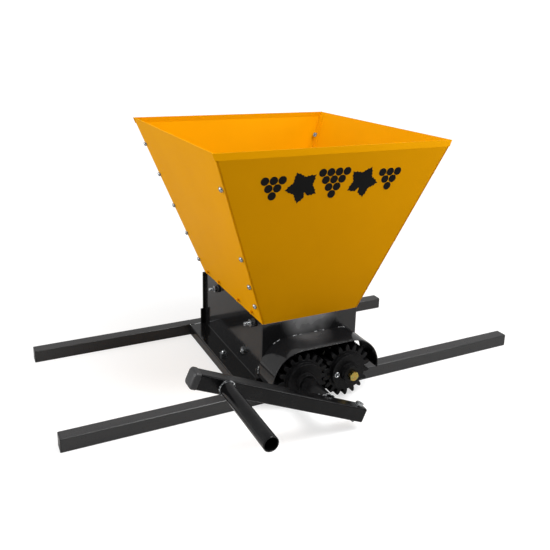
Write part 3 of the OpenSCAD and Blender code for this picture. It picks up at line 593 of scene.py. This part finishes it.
def islands(node):
    """The points of each separate solid of a CAD node"""
    bm = bmesh.new()
    bm.from_mesh(frame["nodes"][node].data)
    bmesh.ops.remove_doubles(bm, verts=bm.verts, dist=2e-6)
    waiting = dict.fromkeys(bm.verts)
    groups = []
    while waiting:
        queue = [next(iter(waiting))]
        del waiting[queue[0]]
        found = []
        while queue:
            vert = queue.pop()
            found.append(vert.co.copy())
            for edge in vert.link_edges:
                other = edge.other_vert(vert)
                if other in waiting:
                    del waiting[other]
                    queue.append(other)
        groups.append(found)
    bm.free()
    return groups


def corners(points):
    """The low and high corner of the box round some points"""
    return [Vector([pick(p[i] for p in points) for i in range(3)]) for pick in (min, max)]


def stand_fasteners(node, part, facing, material, seed):
    """Stands part, drawn up the Z axis from the origin, in place of each solid of a CAD node.
    facing gives the axis of a solid from the middle of its points."""
    bm = bmesh.new()
    axes = []
    for points in islands(node):
        low, high = corners(points)
        axis = facing((low + high) / 2 - CENTRE).normalized()
        foot = min(p.dot(axis) for p in points)
        low, high = corners([p - axis * p.dot(axis) for p in points])
        bm.verts.new((low + high) / 2 + axis * foot)
        axes.append(axis)
    obj = piece_from(node + "_piece", bm)
    facings = obj.data.attributes.new("facing", "FLOAT_VECTOR", "POINT")
    facings.data.foreach_set("vector", [c for axis in axes for c in axis])
    apply_tree(obj, FASTENERS, Part=part, Seed=seed, Finish=material)
    part.hide_render = True
    return in_place(node, obj, material)


def weld(name, paths, width, body, step=1.6 * MM):
    """A weld bead along each path"""
    bm = bmesh.new()
    for path in paths:
        verts = [bm.verts.new(p) for p in path]
        for first, second in zip(verts, verts[1:]):
            bm.edges.new((first, second))
    obj = piece_from(name, bm)
    apply_tree(obj, WELD_BEAD, Width=width, Step=step, Seed=3, Finish=WELD)
    return finished(obj, WELD, body)


def drawn(name, *steps):
    """A part to stand in many places, built by the given steps on one bmesh and kept out of
    the scene"""
    bm = bmesh.new()
    for step in steps:
        step(bm)
    bmesh.ops.recalc_face_normals(bm, faces=bm.faces)
    obj = piece_from(name, bm)
    bpy.context.scene.collection.objects.unlink(obj)
    return obj


def threaded(bm, r, high, pitch):
    """Adds a threaded rod up the Z axis from the origin, with a chamfered foot"""
    core = r * 0.88
    turned(bm, [(0, 0), (r * 0.7, 0), (core, r * 0.25), (core, high), (0, high)], (0, 0, 0), UP, 24)
    wound = piece_from("thread", bmesh.new())
    apply_tree(wound, THREAD, Radius=r * 0.9, Pitch=pitch, Length=high - pitch, Finish=ZINC)
    wound.data.transform(Matrix.Translation((0, 0, pitch * 0.5)))
    bm.from_mesh(wound.data)
    bpy.data.objects.remove(wound)


# ---------------------------------------------------------------- bars, rails and box


def tube(node, axis, low, high, width, radius, material, start_side=UP):
    """Square tube, open at both ends, with rounded corners, from low to high along axis"""
    bm = bmesh.new()
    length = (Vector(high) - Vector(low)).length
    wall = 1.5 * MM
    edge = 0.4 * MM
    inset = wall + 1 * MM
    half = width / 2
    bore = half - wall
    profile = [(bore, inset), (bore, edge), (bore + edge, 0), (half - edge, 0), (half, edge),
               (half, length - edge), (half - edge, length), (bore + edge, length),
               (bore, length - edge), (bore, length - inset), (bore, inset)]
    turned(bm, profile, low, axis, 32, radius, start_side)
    bmesh.ops.remove_doubles(bm, verts=bm.verts, dist=1e-6)
    bmesh.ops.recalc_face_normals(bm, faces=bm.faces)
    return in_place(node, piece_from(node + "_piece", bm), material)


BAR_W = bar_high.z - bar_low.z
BAR_CORNER = 1.8 * MM
for node in ("front_bar", "rear_bar", "rear_leg"):
    low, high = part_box(node)
    middle_y = (low.y + high.y) / 2
    tube(node, ACROSS, (low.x, middle_y, BAR_W / 2), (high.x, middle_y, BAR_W / 2), BAR_W,
         BAR_CORNER, BAR)

plugs = bmesh.new()
for points in islands("bar_end_plugs"):
    low, high = corners(points)
    middle = (low + high) / 2
    cover_xs = [p.x for p in points if p.y < low.y + 0.01 * MM]
    faces_right = sum(cover_xs) > middle.x * len(cover_xs)
    face = high.x if faces_right else low.x
    length = high.x - low.x
    cover = 1.5 * MM
    half = BAR_W / 2
    turned(plugs, [(0, -length), (half - 1.6 * MM, -length), (half - 1.6 * MM, -cover),
                   (half, -cover), (half, -0.6 * MM), (half - 0.5 * MM, -0.1 * MM),
                   (half - 1.2 * MM, 0), (0, 0)],
           (face, middle.y, BAR_W / 2), ACROSS if faces_right else -ACROSS, 32, BAR_CORNER, UP)
bmesh.ops.recalc_face_normals(plugs, faces=plugs.faces)
in_place("bar_end_plugs", piece_from("bar_end_plugs_piece", plugs), BAR)

for node in ("left_rail", "right_rail"):
    folded(node, 2 * MM, 3.2 * MM, 0.35 * MM)
for node in ("left_wall", "right_wall", "left_deflector", "right_deflector"):
    folded(node, 1.5 * MM, 2.6 * MM, 0.3 * MM)
for node in ("left_foot", "right_foot"):
    folded(node, 2 * MM, 3 * MM, 0.4 * MM)
for node in ("front_plate", "rear_plate"):
    softened(node, 0.6 * MM, BLACK)
softened("gear_guard", 0.35 * MM, BLACK, 2, 40)

# ---------------------------------------------------------------- hopper


def rounded_path(points, radius, steps=4):
    """A 2D path with an arc at each inner corner"""
    path = [Vector(points[0])]
    for before, at, after in zip(points, points[1:], points[2:]):
        at = Vector(at)
        into, out = (Vector(before) - at).normalized(), (Vector(after) - at).normalized()
        half = into.angle(out) / 2
        middle = at + (into + out).normalized() * radius / math.sin(half)
        first = at + into * radius / math.tan(half) - middle
        last = at + out * radius / math.tan(half) - middle
        turn = first.angle(last)
        for k in range(steps + 1):
            share = k / steps
            spoke = first * math.sin((1 - share) * turn) + last * math.sin(share * turn)
            path.append(middle + spoke / math.sin(turn))
    path.append(Vector(points[-1]))
    return path


def walled(bm, name):
    """Gives a hopper sheet its thickness on the inside, and softens its cut edges"""
    obj = piece_from(name, bm)
    wall = obj.modifiers.new("wall", "SOLIDIFY")
    wall.thickness = SHEET
    wall.offset = -1
    wall.use_even_offset = True
    return rounded_edges(baked(obj), 0.3 * MM, 2, 50)


def end_panel(node, way):
    """Front or rear sheet of the hopper: a flange folded in along each seam, and an upright
    lip that reaches past the side panels"""
    flange = 15 * MM
    bend = 2 * MM
    lip_reach = 1.2 * MM
    profile = rounded_path([(half_d(BOX_TOP), BOX_TOP), (HALF_RIM_D, LIP_Z), (HALF_RIM_D, RIM_Z)],
                           2.5 * MM)
    slope_rows = [profile[0].lerp(profile[1], k / 8) for k in range(8)]
    bm = bmesh.new()
    before = None
    for depth, z in slope_rows + profile[1:]:
        lip = z > LIP_Z - 0.3 * MM
        wide = half_w(z) - SHEET_X
        far = half_w(z) + lip_reach
        plan = rounded_path([(-wide, depth - flange), (-wide, depth), (wide, depth),
                             (wide, depth - flange)], bend)
        whole = not lip or (before and not before["lip"])
        spots = dict(enumerate(plan)) if whole else {5: plan[5], 6: plan[6]}
        if lip:
            spots["left"], spots["right"] = Vector((-far, depth)), Vector((far, depth))
        row = {key: bm.verts.new((CENTRE.x + at[0], CENTRE.y + way * at[1], z))
               for key, at in spots.items()}
        row["lip"] = lip
        if before:
            chain = ["left", 5, 6, "right"] if before["lip"] else range(len(plan))
            for a, b in zip(chain, chain[1:]):
                bm.faces.new((before[a], before[b], row[b], row[a]))
        before = row
    bmesh.ops.recalc_face_normals(bm, faces=bm.faces)
    face = max(bm.faces, key=lambda f: f.calc_area())
    if face.normal.y * way < 0:
        bmesh.ops.reverse_faces(bm, faces=bm.faces)
    return in_place(node, walled(bm, node + "_piece"), YELLOW)


def side_panel(node, way):
    """Flat side sheet of the hopper, notched round the lips"""
    notch = HALF_RIM_D - SHEET
    outline = [(-half_d(BOX_TOP), BOX_TOP), (half_d(BOX_TOP), BOX_TOP), (HALF_RIM_D, LIP_Z),
               (notch, LIP_Z), (notch, RIM_Z), (-notch, RIM_Z), (-notch, LIP_Z),
               (-HALF_RIM_D, LIP_Z)]
    bm = bmesh.new()
    face = bm.faces.new([bm.verts.new((CENTRE.x + way * half_w(z), CENTRE.y + y, z))
                         for y, z in outline])
    face.normal_update()
    if face.normal.x * way < 0:
        face.normal_flip()
    return in_place(node, walled(bm, node + "_piece"), YELLOW)


# the bright panels would tint the gloss of the black pieces, so reflections leave them out
for panel in (end_panel("hopper_front", -1), end_panel("hopper_rear", 1),
              side_panel("hopper_left", -1), side_panel("hopper_right", 1)):
    panel.visible_glossy = False

# ---------------------------------------------------------------- fasteners


def length_of(node, axis):
    """How far a fastener reaches along an axis"""
    points = islands(node)[0]
    return max(p.dot(axis) for p in points) - min(p.dot(axis) for p in points)


def panel_normal(middle):
    return Vector((math.copysign(1, middle.x), 0, -SLOPE_X))


def outward(middle):
    return Vector((math.copysign(1, middle.x), 0, 0))


def inward(middle):
    return -outward(middle)


def drawn_bolt(name, node, axis, r=3 * MM, flats=10 * MM, head=4 * MM, pitch=1 * MM):
    """Hex bolt up the Z axis, as long as the node's: threaded foot at the origin, head on top"""
    length = length_of(node, axis)
    return drawn(name,
                 lambda bm: threaded(bm, r, length - head, pitch),
                 lambda bm: hexed(bm, flats, length - head, length, (False, True)))


def drawn_nut(name, flats, height, bore):
    return drawn(name, lambda bm: hexed(bm, flats, 0, height, (True, True), bore))


wall_bolt = drawn_bolt("wall_bolt", "foot_bolts", ACROSS)
inner_bolt = drawn_bolt("inner_bolt", "deflector_bolts", ACROSS)
rail_bolt = drawn_bolt("rail_bolt", "rail_bolts", UP)
nut = drawn_nut("nut_m6", 10 * MM, 5 * MM, 2.75 * MM)
small_nut = drawn_nut("nut_m4", 7 * MM, 3.2 * MM, 1.8 * MM)
pad = drawn("pad", lambda bm: turned(bm, [
    (3.05 * MM, 0), (5.9 * MM, 0), (6.5 * MM, 0.6 * MM), (6.5 * MM, 2.4 * MM), (5.9 * MM, 3 * MM),
    (3.05 * MM, 3 * MM), (3.05 * MM, 0)], (0, 0, 0), UP, 40))
screw_len = length_of("hopper_screws", panel_normal(Vector((-1, 0, 0))).normalized())
DOME_MM = [(3.8, -2.4), (3.8, -1.9), (3.62, -1.4), (3.2, -0.85), (2.5, -0.35), (1.75, -0.08)]
seam_screw = drawn("seam_screw", lambda bm: turned(bm, [
    (0, 0), (1.6 * MM, 0), (2 * MM, 0.5 * MM), (2 * MM, screw_len - 2.4 * MM)] + [
    (r * MM, screw_len + z * MM) for r, z in DOME_MM] + [
    (1.4 * MM, screw_len - 0.05 * MM), (1.3 * MM, screw_len - 1.3 * MM), (0, screw_len - 1.3 * MM)],
    (0, 0, 0), UP, 28))
rivet_len = length_of("foot_rivets", panel_normal(Vector((-1, 0, 0))).normalized())
rivet = drawn("rivet", lambda bm: turned(bm, [
    (0, 0), (2 * MM, 0.1 * MM), (2.9 * MM, 0.7 * MM), (3 * MM, 1.5 * MM), (2 * MM, 1.5 * MM),
    (2 * MM, rivet_len - 1.2 * MM), (3.6 * MM, rivet_len - 1.2 * MM),
    (3.5 * MM, rivet_len - 0.8 * MM), (2.9 * MM, rivet_len - 0.3 * MM), (1.8 * MM, rivet_len),
    (1.2 * MM, rivet_len), (1 * MM, rivet_len - 0.5 * MM), (0, rivet_len - 0.5 * MM)],
    (0, 0, 0), UP, 28))

stand_fasteners("foot_bolts", wall_bolt, inward, ZINC, 1)
stand_fasteners("foot_nuts", nut, outward, ZINC, 2)
stand_fasteners("foot_pads", pad, outward, RUBBER, 3)
stand_fasteners("deflector_bolts", inner_bolt, inward, ZINC, 4)
stand_fasteners("deflector_nuts", nut, outward, ZINC, 5)
stand_fasteners("rail_bolts", rail_bolt, lambda middle: -UP, ZINC, 6)
stand_fasteners("rail_nuts", nut, lambda middle: UP, ZINC, 7)
stand_fasteners("hopper_screws", seam_screw, panel_normal, ZINC, 8)
stand_fasteners("hopper_nuts", small_nut, panel_normal, ZINC, 9)
stand_fasteners("foot_rivets", rivet, panel_normal, YELLOW, 10)

# ---------------------------------------------------------------- rollers, shafts and gears

TILT = math.radians(24.1)
GRUB_TURN = math.radians(20)
TO_CAP = Vector((-math.cos(TILT), 0, math.sin(TILT)))
ACROSS_ARM = Vector((math.sin(TILT), 0, math.cos(TILT)))
GRUB_WAY = TO_CAP * math.cos(GRUB_TURN) + ACROSS_ARM * math.sin(GRUB_TURN)
ring_len = length_of("idler_gear_screw", FRONT)
ring_screw = drawn("ring_screw", lambda bm: turned(bm, [
    (0, 0), (3 * MM, 0), (3 * MM, ring_len - 2 * MM), (4.2 * MM, ring_len - 2 * MM),
    (4.2 * MM, ring_len - 0.4 * MM), (3.8 * MM, ring_len), (2.5 * MM, ring_len),
    (2.2 * MM, ring_len - 0.4 * MM), (2.2 * MM, ring_len - 3.5 * MM), (0, ring_len - 3.5 * MM)],
    (0, 0, 0), UP, 30))
grub_len = length_of("crank_socket_screw", GRUB_WAY)
grub = drawn("grub", lambda bm: turned(bm, [
    (0, 0), (2.4 * MM, 0), (3 * MM, 0.5 * MM), (3 * MM, grub_len - 0.4 * MM),
    (2.7 * MM, grub_len), (1.7 * MM, grub_len), (1.6 * MM, grub_len - 2.5 * MM),
    (0, grub_len - 2.5 * MM)], (0, 0, 0), UP, 30))

for side in ("drive", "idler"):
    softened(side + "_shaft", 0.7 * MM, STEEL)
    softened(side + "_roller", 0.9 * MM, ALUMINIUM)
    softened(side + "_pins", 0.3 * MM, STEEL)
    softened(side + "_gear", 0.45 * MM, OXIDE, 2, 25)
    softened(side + "_key", 0.3 * MM, STEEL)
    stand_fasteners(side + "_gear_screw", ring_screw, lambda middle: FRONT, ZINC, 13)
    softened(side + "_collar", 0.6 * MM, OXIDE)
    softened(side + "_collar_screw", 0.2 * MM, ZINC)
    for end in ("front", "rear"):
        softened(f"{end}_{side}_bush", 0.5 * MM, NYLON)
softened("idler_end_washer", 0.3 * MM, OXIDE)
softened("crank_socket", 0.5 * MM, CRANK)
stand_fasteners("crank_socket_screw", grub, lambda middle: GRUB_WAY, ZINC, 14)
end_bolt = drawn_bolt("end_bolt", "idler_end_bolt", FRONT, 4 * MM, 13 * MM, 5.3 * MM, 1.25 * MM)
stand_fasteners("idler_end_bolt", end_bolt, lambda middle: FRONT, CHROMATED, 11)

# ---------------------------------------------------------------- crank

ARM_Y = (arm_low.y + arm_high.y) / 2
ARM_W = arm_high.y - arm_low.y
HUB = Vector((SHAFT.x, ARM_Y, SHAFT.z))
ARM_TAIL = HUB - TO_CAP * 53 * MM
ARM_TIP = HUB + TO_CAP * 203 * MM
HANDLE_R = 9 * MM
HANDLE_FOOT = HUB + TO_CAP * 165 * MM + FRONT * ARM_W / 2

tube("crank_arm", TO_CAP, ARM_TAIL, ARM_TIP, ARM_W, 2.4 * MM, CRANK, ACROSS_ARM)

cap = bmesh.new()
half = ARM_W / 2 + 1 * MM
plug = half - 2.6 * MM
turned(cap, [(0, -9.5 * MM), (plug, -9.5 * MM), (plug, 0), (half - 0.3 * MM, 0),
             (half, 0.4 * MM), (half, 5 * MM), (half - 0.4 * MM, 6.4 * MM),
             (half - 1.4 * MM, 7.7 * MM), (half - 3 * MM, 8.5 * MM), (half - 5.5 * MM, 8.9 * MM),
             (0, 9 * MM)], ARM_TIP, TO_CAP, 40, 4.5 * MM, ACROSS_ARM)
bmesh.ops.recalc_face_normals(cap, faces=cap.faces)
in_place("crank_cap", piece_from("crank_cap_piece", cap), CAP, 50)

handle_len = arm_low.y - handle_low.y
grip = bmesh.new()
bore = HANDLE_R - 1.5 * MM
turned(grip, [(bore, 0), (HANDLE_R, 0), (HANDLE_R, handle_len - 0.5 * MM),
              (HANDLE_R - 0.4 * MM, handle_len), (bore + 0.3 * MM, handle_len),
              (bore, handle_len - 0.4 * MM), (bore, 0)], HANDLE_FOOT, FRONT, 56)
bmesh.ops.remove_doubles(grip, verts=grip.verts, dist=1e-6)
bmesh.ops.recalc_face_normals(grip, faces=grip.faces)
in_place("crank_handle", piece_from("crank_handle_piece", grip), CRANK)

tail_bolt = drawn_bolt("tail_bolt", "crank_tail_bolt", ACROSS_ARM)
stand_fasteners("crank_tail_bolt", tail_bolt, lambda middle: ACROSS_ARM, ZINC, 12)

# ---------------------------------------------------------------- welds


SOCKET_WELD_R = 12.3 * MM
RAIL_INNER, RAIL_OUTER = 80 * MM, 106 * MM
RAIL_WELD_Z = 18.7 * MM
LEG_WELD_Z = (3 * MM, 17 * MM)
LIFT = 0.2 * MM
SHOULDER_R = 48 * MM
SHOULDER_OFF = 40 * MM
SHOULDER_X, SHOULDER_Z = CENTRE.x + 3 * MM, 40 * MM
STITCH_Y = plate_low.y - 0.3 * MM


def ring(middle, axis, r, steps=36):
    side = axis.orthogonal().normalized()
    other = axis.cross(side)
    turns = [2 * math.pi * k / steps for k in range(steps + 1)]
    return [middle + r * (math.cos(a) * side + math.sin(a) * other) for a in turns]


def on_shoulder(way, degrees):
    """A point of the guard's rounded shoulder on that side, on the front plate"""
    turn = math.radians(degrees)
    return Vector((SHOULDER_X + way * (SHOULDER_OFF + SHOULDER_R * math.cos(turn)), STITCH_Y,
                   SHOULDER_Z + SHOULDER_R * math.sin(turn)))


def on_crown(x):
    """A point of the guard's flat top, on the front plate, x mm from its middle"""
    return Vector((SHOULDER_X + x * MM, STITCH_Y, SHOULDER_Z + SHOULDER_R))


weld("handle_weld", [ring(HANDLE_FOOT + FRONT * 0.4 * MM, FRONT, HANDLE_R + 0.3 * MM)], 1.5 * MM,
     "drive_train")
weld("socket_weld", [ring(HUB - FRONT * (ARM_W / 2 + 0.3 * MM), FRONT, SOCKET_WELD_R)], 1.5 * MM,
     "drive_train")
rail_seams = []
for way in (-1, 1):
    for y in (bar_high.y + LIFT, rear_bar_low.y - LIFT):
        rail_seams.append([Vector((CENTRE.x + way * off, y, RAIL_WELD_Z))
                           for off in (RAIL_INNER, RAIL_OUTER)])
for y in (leg_low.y + LIFT, leg_high.y - LIFT):
    rail_seams.append([Vector((leg_low.x + LIFT, y, z)) for z in LEG_WELD_Z])
weld("rail_welds", rail_seams, 1.6 * MM, "frame")
weld("guard_weld", [
    [on_shoulder(-1, a) for a in range(0, 13, 3)], [on_shoulder(-1, a) for a in range(60, 73, 3)],
    [on_crown(x) for x in range(-32, -14, 3)], [on_crown(x) for x in range(4, 22, 3)],
    [on_shoulder(1, a) for a in range(72, 87, 3)], [on_shoulder(1, a) for a in range(20, 35, 3)]],
     1.1 * MM, "frame", 1.5 * MM)

# ---------------------------------------------------------------- emblem


def emblem():
    """Bunches of grapes between vine leaves, cut from vinyl, on the front sheet"""
    bm = bmesh.new()
    middle_z = 324 * MM
    up = Vector((0, -SLOPE_Y, 1)).normalized()
    out = Vector((0, -1, -SLOPE_Y)).normalized()
    base = Vector((CENTRE.x - 6 * MM, CENTRE.y - half_d(middle_z), middle_z)) + out * 0.12 * MM

    def cut(points):
        """A flat closed shape as thick as the vinyl"""
        lower = [bm.verts.new(base + ACROSS * u + up * v) for u, v in points]
        upper = [bm.verts.new(base + ACROSS * u + up * v + out * 0.1 * MM) for u, v in points]
        bm.faces.new(upper)
        bm.faces.new(lower[::-1])
        for k in range(len(points)):
            n = (k + 1) % len(points)
            bm.faces.new((lower[k], lower[n], upper[n], upper[k]))

    def bunch(middle, top, rows):
        """Rows of berries, each with one fewer than the row above"""
        berry = 5.8 * MM
        across, down = berry * 2.12, berry * 1.85
        turns = [math.pi * s / 14 for s in range(28)]
        for row in range(rows):
            count = rows - row
            for k in range(count):
                u, v = middle + (k - (count - 1) / 2) * across, top - row * down
                cut([(u + berry * math.cos(a), v + berry * math.sin(a)) for a in turns])

    def leaf(middle, size, lean):
        """A toothed leaf of five lobes with a notch at its foot"""
        outline = []
        steps = 90
        for s in range(steps):
            a = 2 * math.pi * s / steps
            lobe = 0.64 + 0.36 * (1 - abs(math.sin(2.5 * a))) ** 0.8
            notch = 0.62 if abs(a - math.pi) < 0.12 else 1
            tooth = 1 + 0.05 * math.cos(30 * a)
            r = size * lobe * notch * tooth
            outline.append((middle + r * math.sin(a + lean), r * 0.95 * math.cos(a + lean)))
        cut(outline[::-1])

    bunch(0, 18 * MM, 4)
    for way in (-1, 1):
        leaf(way * 46 * MM, 24 * MM, way * 0.45)
        bunch(way * 88 * MM, 12 * MM, 3)
    bmesh.ops.recalc_face_normals(bm, faces=bm.faces)
    finished(piece_from("emblem", bm), VINYL, "frame")


emblem()

# ---------------------------------------------------------------- studio

floor = bmesh.new()
bmesh.ops.create_grid(floor, x_segments=4, y_segments=4, size=6)
stage_floor = piece_from("floor", floor)
stage_floor.data.materials.append(made(studio_floor))

# the surround is white to the camera and lights the side that faces away from the key
world = bpy.data.worlds.new("studio")
bpy.context.scene.world = world
world.use_nodes = True
sky = world.node_tree
sky.nodes.clear()
way = add(sky, "ShaderNodeTexCoord", {}, "Generated")
shade_side = add(sky, "ShaderNodeVectorMath", {0: way, 1: (0.45, -0.85, -0.25)}, 1,
                 operation="DOT_PRODUCT")
fill = add(sky, "ShaderNodeMapRange", {0: shade_side, 1: -0.1, 2: 0.6, 3: 0.5, 4: 0.06},
           interpolation_type="SMOOTHSTEP")
seen = add(sky, "ShaderNodeLightPath", {}, "Is Camera Ray")
bright = add(sky, "ShaderNodeMapRange", {0: seen, 3: fill, 4: 1.1})
glow = add(sky, "ShaderNodeBackground", {"Color": "#FFFFFF", "Strength": bright})
add(sky, "ShaderNodeOutputWorld", {"Surface": glow})


def soft_light(name, place, target, size, power, spread=180):
    """A square soft box that the camera doesn't see"""
    light = bpy.data.lights.new(name, "AREA")
    light.shape = "RECTANGLE"
    light.size = light.size_y = size
    light.energy = power
    light.spread = math.radians(spread)
    obj = bpy.data.objects.new(name, light)
    obj.location = place
    obj.rotation_euler = (Vector(target) - Vector(place)).to_track_quat("-Z", "Y").to_euler()
    obj.visible_camera = False
    bpy.context.scene.collection.objects.link(obj)


soft_light("key", (-2.1, 0.25, 1.0), (0, 0, 0.2), 1.2, 30)
soft_light("top", (0.7, -0.78, 2.25), (0, 0, 0.2), 1.2, 60)
soft_light("right", (0.62, -0.45, 0.5), (0.15, -0.08, 0.36), 0.3, 0.55, 80)

camera = bpy.data.cameras.new("camera")
camera.sensor_width = 36
camera.lens = 42.5
camera.shift_x = -0.0052
camera.shift_y = -0.099
camera.clip_end = 50
view = bpy.data.objects.new("camera", camera)
azimuth, elevation, roll = (math.radians(a) for a in (-26.68, 15.67, 1.418))
back = Vector((math.sin(azimuth) * math.cos(elevation), -math.cos(azimuth) * math.cos(elevation),
               math.sin(elevation)))
right = UP.cross(back).normalized()
top = back.cross(right)
turned_right = right * math.cos(roll) + top * math.sin(roll)
turned_top = top * math.cos(roll) - right * math.sin(roll)
view.matrix_world = Matrix.Translation(CENTRE + Vector((-0.4433, -0.8835, 0.5063))) @ Matrix(
    (turned_right, turned_top, back)).transposed().to_4x4()
bpy.context.scene.collection.objects.link(view)
bpy.context.scene.camera = view
bpy.context.scene.view_settings.view_transform = "Standard"

for part in (wall_bolt, inner_bolt, rail_bolt, nut, small_nut, pad, seam_screw, rivet, end_bolt,
             tail_bolt, ring_screw, grub):
    bpy.data.objects.remove(part)

bpy.context.view_layer.update()
